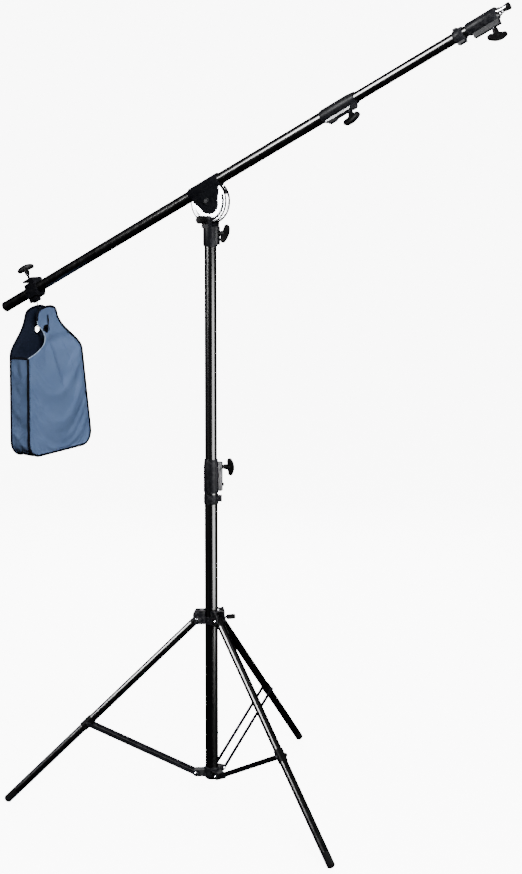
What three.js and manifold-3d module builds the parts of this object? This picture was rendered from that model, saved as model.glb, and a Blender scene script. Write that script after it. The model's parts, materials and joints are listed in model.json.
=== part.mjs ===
// Overhead boom arm: a three-legged stand carries a tilting telescopic boom with a hung sandbag.
// Millimetres, +Z up. The boom lies above the X axis and its spigot end points to +X.
import * as THREE from 'three';
import { mergeVertices } from 'three/addons/utils/BufferGeometryUtils.js';
import Module from 'manifold-3d';

const wasm = await Module();
wasm.setup();

// Driving dimensions, shared by several pieces
const runningGap = 0.3;
const cutOverrun = 2;
const weldDistance = 1e-4;
const roundSides = 28;
const smallSides = 12;
const legSides = 16;
const barrelSides = 20;
const turn = 2 * Math.PI;

const stand = {
  footRadius: 566.2,
  hingeRadius: 39.4,
  hingeHeight: 506,
  braceShare: 0.5644,
  braceFootRadius: 43.4,
  braceFootHeight: 76.5,
  firstLegBearing: THREE.MathUtils.degToRad(98.6),
  legCount: 3,
};

const pivot = { height: 1621.2, boomOffset: 39.5, mastTopDrop: 71.2, tilt: THREE.MathUtils.degToRad(24.41) };

const lowerColumn = { radius: 17.5, wall: 1.2, bottom: 63, top: 935 };
const upperColumn = { radius: 16, wall: 1.2, bottom: 742, top: pivot.height - pivot.mastTopDrop };
const boomOuter = { radius: 15, wall: 1.2, tailEnd: -803, tipEnd: 497 };
const boomInner = { radius: 12.75, wall: 1.2, tailEnd: 60, tipEnd: 872 };

// Solids

function solidOf(geometry) {
  const bare = geometry.clone();
  bare.deleteAttribute('normal');
  bare.deleteAttribute('uv');
  const merged = mergeVertices(bare, weldDistance);
  const corners = merged.index.array;
  const triangles = [];
  for (let i = 0; i < corners.length; i += 3) {
    const [a, b, c] = [corners[i], corners[i + 1], corners[i + 2]];
    if (a !== b && b !== c && c !== a) triangles.push(a, b, c);
  }
  return new wasm.Manifold(new wasm.Mesh({
    numProp: 3,
    vertProperties: new Float32Array(merged.attributes.position.array),
    triVerts: new Uint32Array(triangles),
  }));
}

function geometryOf(solid) {
  const mesh = solid.getMesh();
  const geometry = new THREE.BufferGeometry();
  geometry.setAttribute('position', new THREE.BufferAttribute(new Float32Array(mesh.vertProperties), 3));
  geometry.setIndex(new THREE.BufferAttribute(new Uint32Array(mesh.triVerts), 1));
  geometry.computeVertexNormals();
  return geometry;
}

function joined(first, ...others) {
  return geometryOf(others.reduce((sum, other) => sum.add(solidOf(other)), solidOf(first)));
}

function cut(base, ...tools) {
  return geometryOf(tools.reduce((rest, tool) => rest.subtract(solidOf(tool)), solidOf(base)));
}

function common(first, second) {
  return geometryOf(solidOf(first).intersect(solidOf(second)));
}

// Shapes stand along +Z unless a helper lays them along another axis

function rod(radius, from, to, sides = roundSides) {
  return new THREE.CylinderGeometry(radius, radius, to - from, sides)
    .rotateX(turn / 4)
    .translate(0, 0, (from + to) / 2);
}

function turned(outline, sides = roundSides) {
  const points = outline.map(([radius, height]) => new THREE.Vector2(radius, height));
  return new THREE.LatheGeometry(points, sides).rotateX(turn / 4);
}

function pipe(radius, bore, from, to, sides = roundSides) {
  return turned([[bore, from], [radius, from], [radius, to], [bore, to], [bore, from]], sides);
}

function box(fromX, toX, fromY, toY, fromZ, toZ) {
  return new THREE.BoxGeometry(toX - fromX, toY - fromY, toZ - fromZ)
    .translate((fromX + toX) / 2, (fromY + toY) / 2, (fromZ + toZ) / 2);
}

function slab(shape, thickness, curveSteps = 12) {
  return new THREE.ExtrudeGeometry(shape, { depth: thickness, bevelEnabled: false, curveSegments: curveSteps })
    .translate(0, 0, -thickness / 2);
}

const alongX = (geometry) => geometry.rotateY(turn / 4);
const alongY = (geometry) => geometry.rotateX(-turn / 4);
const uprightSlab = (geometry) => geometry.rotateX(turn / 4);

const paint = {
  black: { color: 0x121316, roughness: 0.3, metalness: 0.4 },
  casting: { color: 0x15161a, roughness: 0.45, metalness: 0.3 },
  plastic: { color: 0x0d0e10, roughness: 0.5, metalness: 0 },
  rubber: { color: 0x101010, roughness: 0.8, metalness: 0 },
  zinc: { color: 0xd5d8dc, roughness: 0.25, metalness: 0.9 },
  cloth: { color: 0x6b85a5, roughness: 0.9, metalness: 0 },
};

function piece(name, geometry, finish) {
  const mesh = new THREE.Mesh(geometry, new THREE.MeshStandardMaterial(paint[finish]));
  mesh.name = name;
  return mesh;
}

// Wing screw: a stem, a hub and a crescent wing, pointing along +Z from the boss face at zero
const wing = {
  stemRadius: 3.6,
  stemReach: 3,
  hubFootRadius: 6.5,
  hubRadius: 8.5,
  hubLength: 19,
  halfSpan: 26,
  thickness: 11,
  tipDrop: 3,
  tipHeight: 8,
  wristHeight: 11,
  wristHalfWidth: 9,
  crown: 29,
  crownHalfWidth: 12,
};

function wingOutline() {
  const tipFoot = wing.hubLength - wing.tipDrop - wing.tipHeight / 2;
  const tipTop = tipFoot + wing.tipHeight;
  const wrist = wing.wristHeight;
  const shape = new THREE.Shape();
  shape.moveTo(wing.wristHalfWidth, wrist);
  shape.quadraticCurveTo(wing.wristHalfWidth, tipFoot, wing.halfSpan - wing.tipHeight / 2, tipFoot);
  shape.quadraticCurveTo(wing.halfSpan, tipFoot, wing.halfSpan, tipTop);
  shape.bezierCurveTo(wing.halfSpan, tipTop + wing.tipHeight / 2, wing.crownHalfWidth, wing.crown, 0, wing.crown);
  shape.bezierCurveTo(-wing.crownHalfWidth, wing.crown, -wing.halfSpan, tipTop + wing.tipHeight / 2,
    -wing.halfSpan, tipTop);
  shape.quadraticCurveTo(-wing.halfSpan, tipFoot, -wing.halfSpan + wing.tipHeight / 2, tipFoot);
  shape.quadraticCurveTo(-wing.wristHalfWidth, tipFoot, -wing.wristHalfWidth, wrist);
  return shape;
}

function wingScrew(stemDepth, restTurn, stemReach = wing.stemReach) {
  const stem = rod(wing.stemRadius, -stemDepth - stemReach, wing.hubLength / 2, smallSides);
  const hub = turned([
    [0, 0],
    [wing.hubFootRadius, 0],
    [wing.hubRadius, wing.hubLength],
    [0, wing.hubLength],
  ], smallSides);
  const grip = uprightSlab(slab(wingOutline(), wing.thickness, 7));
  return joined(stem, hub, grip).rotateZ(restTurn).translate(0, 0, stemReach);
}

const stemHole = wing.stemRadius + runningGap;

// Telescopic clamp on the end of a tube: the tube stands along +Z and the boss points to +X
const clamp = {
  chamfer: 20,
  footChamfer: 5,
  bodyWall: 2.2,
  bossHalfWidth: 5,
  bossInset: 6,
  channelWall: 1.6,
  channelInset: 1.6,
  screwShare: 0.23,
  screwRadius: 2.6,
  screwHead: 4.5,
  screwHeadHeight: 3.6,
};

function clampBody(outerTube, innerTube, length, tubeEnd, bossReach) {
  const bore = outerTube.radius + runningGap;
  const mouth = innerTube.radius + runningGap;
  const radius = bore + clamp.bodyWall;
  const tubeTop = tubeEnd + runningGap;
  const body = turned([
    [bore, 0],
    [radius - clamp.bodyWall / 2, 0],
    [radius, clamp.footChamfer],
    [radius, length - clamp.chamfer],
    [(radius + mouth) / 2, length],
    [mouth, length],
    [mouth, tubeTop],
    [bore, tubeTop],
    [bore, 0],
  ]);
  const boss = box(outerTube.radius, bossReach, -clamp.bossHalfWidth, clamp.bossHalfWidth,
    clamp.bossInset, length - clamp.bossInset);
  return cut(joined(body, boss), rod(bore, -cutOverrun, tubeTop), rod(mouth, 0, length + cutOverrun));
}

function bossHeightAt(length, share) {
  return clamp.bossInset + (length - 2 * clamp.bossInset) * share;
}

function acrossX(radius, from, to, height) {
  return alongX(rod(radius, from, to, smallSides)).translate(0, 0, height);
}

// Mast clamp: a bright channel wraps the boss
const mastClamp = {
  tubeGrip: 84,
  length: 91,
  bearing: THREE.MathUtils.degToRad(26),
  bossReach: 28.6,
  channelStart: 21,
  knobShare: 0.83,
  knobTurn: THREE.MathUtils.degToRad(28),
};
const mastClampFoot = lowerColumn.top - mastClamp.tubeGrip;

function mastClampParts() {
  const group = new THREE.Group();
  group.position.z = mastClampFoot;
  group.rotation.z = mastClamp.bearing;
  const tubeEnd = lowerColumn.top - mastClampFoot;
  const knobHeight = bossHeightAt(mastClamp.length, mastClamp.knobShare);
  const screwHeight = bossHeightAt(mastClamp.length, clamp.screwShare);
  const bossFace = mastClamp.bossReach;
  const channelFace = bossFace + runningGap + clamp.channelWall;
  const stemTip = upperColumn.radius + runningGap;
  const holes = [
    acrossX(stemHole, upperColumn.radius, channelFace + cutOverrun, knobHeight),
    acrossX(clamp.screwRadius + runningGap, lowerColumn.radius + clamp.bodyWall / 2,
      channelFace + cutOverrun, screwHeight),
  ];
  const body = clampBody(lowerColumn, upperColumn, mastClamp.length, tubeEnd, bossFace);
  group.add(piece('mast_clamp_body', cut(body, ...holes), 'casting'));

  const inside = clamp.bossHalfWidth + runningGap;
  const outside = inside + clamp.channelWall;
  const low = clamp.bossInset + clamp.channelInset;
  const high = mastClamp.length - low;
  const channel = cut(
    box(mastClamp.channelStart, channelFace, -outside, outside, low, high),
    box(mastClamp.channelStart - cutOverrun, bossFace + runningGap, -inside, inside,
      low - cutOverrun, high + cutOverrun),
    ...holes,
  );
  group.add(piece('mast_clamp_channel', channel, 'zinc'));

  const knob = alongX(wingScrew(channelFace - stemTip, mastClamp.knobTurn))
    .translate(channelFace, 0, knobHeight);
  group.add(piece('mast_clamp_knob', knob, 'plastic'));

  const screwFace = channelFace + runningGap;
  const screwTip = lowerColumn.radius + clamp.bodyWall / 2 + 2 * runningGap;
  const screw = joined(
    acrossX(clamp.screwRadius, screwTip, screwFace + clamp.screwHeadHeight / 2, screwHeight),
    acrossX(clamp.screwHead, screwFace, screwFace + clamp.screwHeadHeight, screwHeight),
  );
  group.add(piece('mast_clamp_screw', screw, 'plastic'));
  return group;
}

// Ring under the mast clamp, with its small lug
const ring = {
  clampDrop: 30,
  height: 26,
  wall: 2,
  chamfer: 3,
  lugReach: 29,
  lugHalfWidth: 6.5,
  lugInset: 7,
  lugTopInset: 2,
  bearing: THREE.MathUtils.degToRad(36),
};
const ringBottom = mastClampFoot - ring.clampDrop;

function clampRing() {
  const bore = lowerColumn.radius + runningGap;
  const radius = bore + ring.wall;
  const top = ringBottom + ring.height;
  const band = turned([
    [bore, ringBottom],
    [radius - ring.wall / 2, ringBottom],
    [radius, ringBottom + ring.chamfer],
    [radius, top],
    [bore, top],
    [bore, ringBottom],
  ]);
  const lug = box(lowerColumn.radius, ring.lugReach, -ring.lugHalfWidth, ring.lugHalfWidth,
    ringBottom + ring.lugInset, top - ring.lugTopInset);
  const body = cut(joined(band, lug), rod(bore, ringBottom - cutOverrun, top + cutOverrun));
  return piece('mast_clamp_ring', body.rotateZ(ring.bearing), 'casting');
}

// Columns

function lowerColumnTube() {
  const tube = pipe(lowerColumn.radius, lowerColumn.radius - lowerColumn.wall, lowerColumn.bottom,
    lowerColumn.top);
  const knobHeight = mastClampFoot + bossHeightAt(mastClamp.length, mastClamp.knobShare);
  const hole = acrossX(stemHole, 0, lowerColumn.radius + cutOverrun, knobHeight).rotateZ(mastClamp.bearing);
  return piece('lower_column_tube', cut(tube, hole), 'black');
}

const footPlug = { flange: 4, insert: 26, wallClearance: 0.3, lip: 1.2 };

function columnFootPlug() {
  const shoulder = lowerColumn.bottom - runningGap;
  const insertRadius = lowerColumn.radius - lowerColumn.wall - footPlug.wallClearance;
  return piece('column_foot_plug', turned([
    [0, shoulder - footPlug.flange],
    [lowerColumn.radius - footPlug.lip, shoulder - footPlug.flange],
    [lowerColumn.radius, shoulder - footPlug.flange + footPlug.lip],
    [lowerColumn.radius, shoulder],
    [insertRadius, shoulder],
    [insertRadius, shoulder + footPlug.insert],
    [0, shoulder + footPlug.insert],
  ]), 'plastic');
}

const mastBush = { length: 40, flange: 3, wall: 2 };

function mastFootBush() {
  const outer = lowerColumn.radius - lowerColumn.wall - runningGap;
  const insert = upperColumn.radius - upperColumn.wall - runningGap;
  const shoulder = upperColumn.bottom - runningGap;
  return piece('mast_foot_bush', turned([
    [insert - mastBush.wall, shoulder - mastBush.flange],
    [outer, shoulder - mastBush.flange],
    [outer, shoulder],
    [insert, shoulder],
    [insert, shoulder + mastBush.length],
    [insert - mastBush.wall, shoulder + mastBush.length],
    [insert - mastBush.wall, shoulder - mastBush.flange],
  ]), 'plastic');
}

// Tripod linkage, worked out from the leg's and the brace's pivots
const legRun = stand.footRadius - stand.hingeRadius;
const legLength = Math.hypot(legRun, stand.hingeHeight);
const legAngle = Math.atan2(legRun, stand.hingeHeight);
const bracePoint = legLength * stand.braceShare;
const bracePivotRadius = stand.hingeRadius + bracePoint * Math.sin(legAngle);
const bracePivotHeight = stand.hingeHeight - bracePoint * Math.cos(legAngle);
const braceRun = bracePivotRadius - stand.braceFootRadius;
const braceRise = bracePivotHeight - stand.braceFootHeight;
const braceLength = Math.hypot(braceRun, braceRise);
const braceAngle = Math.atan2(braceRise, braceRun);

const rivet = { radius: 3, head: 5.5, headHeight: 2.4, headTopShare: 0.6 };

function rivetBetween(halfSpan) {
  const seat = halfSpan + runningGap;
  const crown = seat + rivet.headHeight;
  return alongY(turned([
    [0, -crown],
    [rivet.head * rivet.headTopShare, -crown],
    [rivet.head, -seat],
    [rivet.radius, -seat],
    [rivet.radius, seat],
    [rivet.head, seat],
    [rivet.head * rivet.headTopShare, crown],
    [0, crown],
  ], smallSides));
}

const pinHole = rivet.radius + runningGap;

const leg = {
  radius: 11,
  wall: 1.2,
  topPlugReach: 17,
  topPlugInsert: 30,
  footCap: 46,
  footInsert: 24,
  footRound: 4.5,
  footFlatDepth: 0.5,
  sleeveHalfLength: 17,
  sleeveWall: 1.9,
};

const brace = {
  halfHeight: 5.5,
  thickness: 2.5,
  sideGap: 0.6,
};
const braceInner = leg.radius + leg.sleeveWall + runningGap + brace.sideGap;
const braceOuter = braceInner + brace.thickness;

const lowerCollar = {
  bottom: 62.5,
  top: 92,
  wall: 3.4,
  lugHalfHeight: 9,
};

function lowerCollarPiece() {
  const bore = lowerColumn.radius + runningGap;
  const radius = bore + lowerCollar.wall;
  const bottom = lowerCollar.bottom;
  const halfWidth = braceInner - runningGap;
  const hub = turned([
    [bore, bottom],
    [radius - lowerCollar.wall / 2, bottom],
    [radius, bottom + lowerCollar.wall],
    [radius, lowerCollar.top - lowerCollar.wall],
    [radius - lowerCollar.wall / 2, lowerCollar.top],
    [bore, lowerCollar.top],
    [bore, bottom],
  ]);
  const lugs = legBearings().map((bearing) => {
    const low = stand.braceFootHeight - lowerCollar.lugHalfHeight;
    const high = stand.braceFootHeight + lowerCollar.lugHalfHeight;
    const arm = box(lowerColumn.radius, stand.braceFootRadius, -halfWidth, halfWidth, low, high);
    const nose = alongY(rod(lowerCollar.lugHalfHeight, -halfWidth, halfWidth, smallSides))
      .translate(stand.braceFootRadius, 0, stand.braceFootHeight);
    return joined(arm, nose).rotateZ(bearing);
  });
  const holes = legBearings().map((bearing) => alongY(rod(pinHole, -braceOuter, braceOuter, smallSides))
    .translate(stand.braceFootRadius, 0, stand.braceFootHeight)
    .rotateZ(bearing));
  const solid = cut(joined(hub, ...lugs), ...holes,
    rod(bore, bottom - cutOverrun, lowerCollar.top + cutOverrun));
  return piece('lower_collar', solid, 'casting');
}

function legBearings() {
  return Array.from({ length: stand.legCount }, (_, i) => stand.firstLegBearing + (i * turn) / stand.legCount);
}

const upperCollar = {
  bottomDrop: 12,
  topRise: 7,
  wall: 3.6,
  plateThickness: 3,
  plateStart: 17.2,
  plateRise: 26,
  plateNose: 11,
  webThickness: 3,
  webEnd: 31,
  screwBearing: THREE.MathUtils.degToRad(56),
  screwRise: 1,
  screwBossRadius: 6,
  screwBossReach: 31,
};
const collarScrewHeight = stand.hingeHeight + upperCollar.screwRise;
const forkInner = leg.radius + runningGap;
const forkOuter = forkInner + upperCollar.plateThickness;

function forkPlateShape() {
  const drop = upperCollar.bottomDrop;
  const shape = new THREE.Shape();
  shape.moveTo(upperCollar.plateStart, -drop);
  shape.lineTo(stand.hingeRadius, -drop);
  shape.absarc(stand.hingeRadius, 0, upperCollar.plateNose, -turn / 4, 0, false);
  shape.lineTo(stand.hingeRadius + upperCollar.plateNose, upperCollar.plateNose);
  shape.lineTo(upperCollar.webEnd + upperCollar.plateNose, upperCollar.plateRise);
  shape.lineTo(upperCollar.plateStart, upperCollar.plateRise);
  return shape;
}

function legFork() {
  const plates = [-1, 1].map((side) => uprightSlab(slab(forkPlateShape(), upperCollar.plateThickness, 4))
    .translate(0, side * (forkInner + upperCollar.plateThickness / 2), stand.hingeHeight));
  const topOfPlates = stand.hingeHeight + upperCollar.plateRise;
  const hubWall = lowerColumn.radius + runningGap + upperCollar.wall;
  const web = box(hubWall, upperCollar.webEnd, -forkInner - cutOverrun, forkInner + cutOverrun,
    topOfPlates - upperCollar.webThickness, topOfPlates);
  return joined(plates[0], plates[1], web);
}

function upperCollarPiece() {
  const bore = lowerColumn.radius + runningGap;
  const radius = bore + upperCollar.wall;
  const bottom = stand.hingeHeight - upperCollar.bottomDrop;
  const top = stand.hingeHeight + upperCollar.topRise;
  const hub = pipe(radius, bore, bottom, top);
  const forks = legBearings().map((bearing) => legFork().rotateZ(bearing));
  const boss = alongX(rod(upperCollar.screwBossRadius, lowerColumn.radius, upperCollar.screwBossReach, smallSides))
    .translate(0, 0, collarScrewHeight)
    .rotateZ(upperCollar.screwBearing);
  const holes = legBearings().map((bearing) => alongY(rod(pinHole, -forkOuter - cutOverrun,
    forkOuter + cutOverrun, smallSides))
    .translate(stand.hingeRadius, 0, stand.hingeHeight)
    .rotateZ(bearing));
  const screwHole = alongX(rod(thumb.stemRadius + runningGap, lowerColumn.radius,
    upperCollar.screwBossReach + cutOverrun, smallSides))
    .translate(0, 0, collarScrewHeight)
    .rotateZ(upperCollar.screwBearing);
  const solid = cut(joined(hub, boss, ...forks), ...holes, screwHole,
    rod(bore, bottom - cutOverrun, top + cutOverrun));
  return piece('upper_collar', solid, 'casting');
}

// Thumb screw that locks the upper collar on the column
const thumb = { stemRadius: 2.6, neck: 13, gripRadius: 7, gripLength: 23, flutes: 10, fluteRadius: 1.1, round: 1.2 };

function collarThumbscrew() {
  const tip = lowerColumn.radius + runningGap;
  const gripStart = upperCollar.screwBossReach + thumb.neck;
  const gripEnd = gripStart + thumb.gripLength;
  const stem = rod(thumb.stemRadius, tip, gripStart + thumb.gripLength / 2, smallSides);
  const grip = turned([
    [0, gripStart],
    [thumb.gripRadius - thumb.round, gripStart],
    [thumb.gripRadius, gripStart + thumb.round],
    [thumb.gripRadius, gripEnd - thumb.round],
    [thumb.gripRadius - thumb.round, gripEnd],
    [0, gripEnd],
  ]);
  const flutes = Array.from({ length: thumb.flutes }, (_, i) => rod(thumb.fluteRadius, gripStart - cutOverrun,
    gripEnd + cutOverrun, 8)
    .translate(thumb.gripRadius, 0, 0)
    .rotateZ((i * turn) / thumb.flutes));
  const screw = joined(cut(grip, ...flutes), stem);
  return piece('collar_thumbscrew', alongX(screw)
    .translate(0, 0, collarScrewHeight)
    .rotateZ(upperCollar.screwBearing), 'plastic');
}

// One leg is drawn from its hinge along +X, then turned down to the floor
function legParts(number) {
  const group = new THREE.Group();
  group.position.set(stand.hingeRadius, 0, stand.hingeHeight);
  group.rotation.y = turn / 4 - legAngle;
  const bore = leg.radius - leg.wall;
  const tubeEnd = legLength - leg.footCap;
  const tube = alongX(pipe(leg.radius, bore, leg.topPlugReach + runningGap, tubeEnd, legSides));
  group.add(piece(`leg_${number}_tube`, tube, 'black'));

  const plugBody = alongX(rod(leg.radius, -leg.radius, leg.topPlugReach, legSides));
  const nose = alongY(rod(leg.radius, -leg.radius, leg.radius, legSides));
  const noseBlock = joined(nose, box(0, leg.topPlugReach + cutOverrun, -leg.radius, leg.radius,
    -leg.radius, leg.radius));
  const insert = alongX(rod(bore - runningGap, 0, leg.topPlugReach + leg.topPlugInsert, legSides));
  const top = cut(joined(common(plugBody, noseBlock), insert),
    alongY(rod(pinHole, -leg.radius - cutOverrun, leg.radius + cutOverrun, smallSides)));
  group.add(piece(`leg_${number}_top`, top, 'plastic'));

  const sleeveBore = leg.radius + runningGap;
  const sleeve = alongX(pipe(leg.radius + leg.sleeveWall, sleeveBore,
    bracePoint - leg.sleeveHalfLength, bracePoint + leg.sleeveHalfLength, legSides));
  group.add(piece(`leg_${number}_brace_sleeve`, sleeve, 'plastic'));

  group.add(piece(`leg_${number}_foot`, footPiece(bore, tubeEnd), 'rubber'));
  return group;
}

// The foot ends square to the leg; its bevelled rim rests on the floor on a small flat
function footPiece(bore, tubeEnd) {
  const endHeight = (leg.radius - leg.footRound) * Math.sin(legAngle) - leg.footFlatDepth;
  const reach = legLength - endHeight / Math.cos(legAngle);
  const shoulder = tubeEnd + runningGap;
  const cap = alongX(turned([
    [0, shoulder - leg.footInsert],
    [bore - runningGap, shoulder - leg.footInsert],
    [bore - runningGap, shoulder],
    [leg.radius, shoulder],
    [leg.radius, reach - leg.footRound],
    [leg.radius - leg.footRound, reach],
    [0, reach],
  ], legSides));
  const floorSide = 8 * leg.radius;
  const floor = box(-floorSide, floorSide, -floorSide, floorSide, -floorSide, 0)
    .rotateY(legAngle - turn / 4)
    .translate(legLength, 0, 0);
  return cut(cap, floor);
}

// A brace is two flat strips that straddle the leg; each carries its rivet head at the leg's end
function braceParts(number) {
  const group = new THREE.Group();
  group.position.set(stand.braceFootRadius, 0, stand.braceFootHeight);
  group.rotation.y = -braceAngle;
  const shape = new THREE.Shape();
  shape.absarc(0, 0, brace.halfHeight, turn / 4, (3 * turn) / 4, false);
  shape.absarc(braceLength, 0, brace.halfHeight, -turn / 4, turn / 4, false);
  const headDisc = turned([
    [0, -brace.thickness],
    [rivet.head, -brace.thickness],
    [rivet.head, runningGap],
    [rivet.head * rivet.headTopShare, rivet.headHeight],
    [0, rivet.headHeight],
  ], smallSides);
  for (const [word, side] of [['left', 1], ['right', -1]]) {
    const strip = uprightSlab(slab(shape, brace.thickness, 5))
      .translate(0, side * (braceInner + brace.thickness / 2), 0);
    const head = (side > 0 ? alongY(headDisc.clone()) : alongY(headDisc.clone()).rotateZ(turn / 2))
      .translate(braceLength, side * braceOuter, 0);
    const hole = alongY(rod(pinHole, -braceOuter - cutOverrun, braceOuter + cutOverrun, smallSides));
    group.add(piece(`brace_${number}_${word}`, cut(joined(strip, head), hole), 'black'));
  }
  return group;
}

function tripod() {
  const group = new THREE.Group();
  group.add(lowerCollarPiece(), upperCollarPiece(), collarThumbscrew());
  legBearings().forEach((bearing, index) => {
    const number = index + 1;
    const spoke = new THREE.Group();
    spoke.rotation.z = bearing;
    spoke.add(legParts(number), braceParts(number));
    spoke.add(piece(`leg_${number}_hinge_rivet`,
      rivetBetween(forkOuter).translate(stand.hingeRadius, 0, stand.hingeHeight), 'zinc'));
    spoke.add(piece(`brace_${number}_foot_rivet`,
      rivetBetween(braceOuter).translate(stand.braceFootRadius, 0, stand.braceFootHeight), 'zinc'));
    group.add(spoke);
  });
  return group;
}

// Head: a socket on the mast, a barrel for the lock bolt and a tongue up to the tilt pivot
const head = {
  socketDrop: 63.2,
  socketLength: 54,
  socketWall: 3.2,
  socketFootChamfer: 5,
  capThickness: 6,
  ribHalfWidth: 6.5,
  ribReach: 25.5,
  ribBottomInset: 5,
  ribTopInset: 2,
  ribBearing: THREE.MathUtils.degToRad(6),
  knobRise: 34,
  knobStemReach: 0.5,
  knobTurn: THREE.MathUtils.degToRad(-33),
  neckHalfWidth: 14,
  barrelRadius: 11,
  barrelHalfLength: 24,
  tongueRadius: 15,
};

const quadrant = {
  radius: 58,
  thickness: 2,
  slotRadius: 48,
  slotHalfWidth: 3.6,
  slotHalfAngle: THREE.MathUtils.degToRad(84),
  halfSpacing: 8,
  topBelowSleeve: 0.4,
};

const pivotBolt = { radius: 4, head: 7, headHeight: 5, washer: 8.4, washerHeight: 1.4 };
const lockBolt = { radius: 3, gripRadius: 10.6, gripLength: 27, flutes: 12, fluteRadius: 1.3, cap: 7.5, capHeight: 3,
  round: 2 };

const barrelHeight = pivot.height - quadrant.slotRadius;
const socketTop = pivot.height - head.socketDrop;
const socketBottom = socketTop - head.socketLength;
const headKnobHeight = socketBottom + head.knobRise;
const tongueHalf = quadrant.halfSpacing - quadrant.thickness / 2 - runningGap;
const earInner = quadrant.halfSpacing + quadrant.thickness / 2 + runningGap;

function headSocket() {
  const bore = upperColumn.radius + runningGap;
  const radius = bore + head.socketWall;
  const sleeve = turned([
    [0, socketBottom],
    [radius - head.socketWall * 0.75, socketBottom],
    [radius, socketBottom + head.socketFootChamfer],
    [radius, socketTop - head.socketWall],
    [radius - head.socketWall, socketTop],
    [0, socketTop],
  ]);
  const rib = box(0, head.ribReach, -head.ribHalfWidth, head.ribHalfWidth,
    socketBottom + head.ribBottomInset, socketTop - head.ribTopInset).rotateZ(head.ribBearing);
  const neck = box(-head.barrelRadius, head.barrelRadius, -head.barrelHalfLength, head.barrelHalfLength,
    socketTop - head.capThickness, barrelHeight);
  const barrel = alongY(rod(head.barrelRadius, -head.barrelHalfLength, head.barrelHalfLength, barrelSides))
    .translate(0, 0, barrelHeight);
  const tongue = joined(
    box(-head.neckHalfWidth, head.neckHalfWidth, -tongueHalf, tongueHalf,
      socketTop - head.capThickness, pivot.height),
    alongY(rod(head.tongueRadius, -tongueHalf, tongueHalf, barrelSides)).translate(0, 0, pivot.height),
  );
  const slotFloor = pivot.height - quadrant.radius - 2 * runningGap;
  const slots = [-1, 1].map((side) => {
    const near = side * tongueHalf;
    const far = side * earInner;
    return box(-2 * quadrant.radius, 2 * quadrant.radius, Math.min(near, far), Math.max(near, far),
      slotFloor, pivot.height + quadrant.radius);
  });
  const socketBore = rod(bore, socketBottom - cutOverrun, upperColumn.top + runningGap);
  const knobHole = alongX(rod(stemHole, upperColumn.radius, head.ribReach + cutOverrun, smallSides))
    .translate(0, 0, headKnobHeight).rotateZ(head.ribBearing);
  const pivotHole = alongY(rod(pivotBolt.radius + runningGap, -cutOverrun - tongueHalf,
    tongueHalf + cutOverrun, smallSides)).translate(0, 0, pivot.height);
  const lockHole = alongY(rod(lockBolt.radius + runningGap, -head.barrelHalfLength - cutOverrun,
    head.barrelHalfLength + cutOverrun, smallSides)).translate(0, 0, barrelHeight);
  const solid = cut(joined(sleeve, rib, neck, barrel, tongue), ...slots, socketBore, knobHole, pivotHole,
    lockHole);
  return piece('head_socket', solid, 'casting');
}

function headKnob() {
  const stemTip = upperColumn.radius + runningGap;
  const screw = alongX(wingScrew(head.ribReach - stemTip, head.knobTurn, head.knobStemReach))
    .translate(head.ribReach, 0, headKnobHeight)
    .rotateZ(head.ribBearing);
  return piece('head_knob', screw, 'plastic');
}

// Tilt lock: a fluted grip on the bolt that crosses the quadrants' slots, on the -Y side
function tiltLockKnob() {
  const seat = head.barrelHalfLength + runningGap;
  const end = seat + lockBolt.gripLength;
  const grip = turned([
    [0, seat],
    [lockBolt.gripRadius, seat],
    [lockBolt.gripRadius, end - lockBolt.round],
    [lockBolt.gripRadius - lockBolt.round, end],
    [lockBolt.cap, end],
    [lockBolt.cap - lockBolt.round / 2, end + lockBolt.capHeight],
    [0, end + lockBolt.capHeight],
  ]);
  const flutes = Array.from({ length: lockBolt.flutes }, (_, i) => rod(lockBolt.fluteRadius,
    seat + lockBolt.round, end + cutOverrun, 8)
    .translate(lockBolt.gripRadius + lockBolt.fluteRadius / 2, 0, 0)
    .rotateZ((i * turn) / lockBolt.flutes));
  const bolt = rod(lockBolt.radius, -head.barrelHalfLength, seat + cutOverrun, smallSides);
  const knob = joined(cut(grip, ...flutes), bolt).rotateX(turn / 4).translate(0, 0, barrelHeight);
  return piece('tilt_lock_knob', knob, 'plastic');
}

// Boom sleeve with two shield webs down to the tilt pivot, drawn in the boom's frame:
// the pivot is the origin, +X runs to the spigot and the tube's axis is boomOffset above
const sleeve = {
  tailEnd: -50,
  tipEnd: 53,
  wall: 3.2,
  chamfer: 3,
  webThickness: 4.6,
  webTop: 32,
  webTopHalfWidth: 43,
  webSideHalfWidth: 29,
  webSideHeight: -8,
  webBottomRadius: 28,
  webBottomCentre: -5,
};
const webInner = earInner;
const webOuter = webInner + sleeve.webThickness;

function webShape() {
  const reach = Math.acos((sleeve.webSideHeight - sleeve.webBottomCentre) / sleeve.webBottomRadius);
  const shape = new THREE.Shape();
  shape.moveTo(-sleeve.webTopHalfWidth, sleeve.webTop);
  shape.lineTo(-sleeve.webTopHalfWidth, sleeve.webTop / 2);
  shape.absarc(0, sleeve.webBottomCentre, sleeve.webBottomRadius, turn / 4 + reach, (5 * turn) / 4 - reach, false);
  shape.lineTo(sleeve.webTopHalfWidth, sleeve.webTop / 2);
  shape.lineTo(sleeve.webTopHalfWidth, sleeve.webTop);
  return shape;
}

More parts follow.
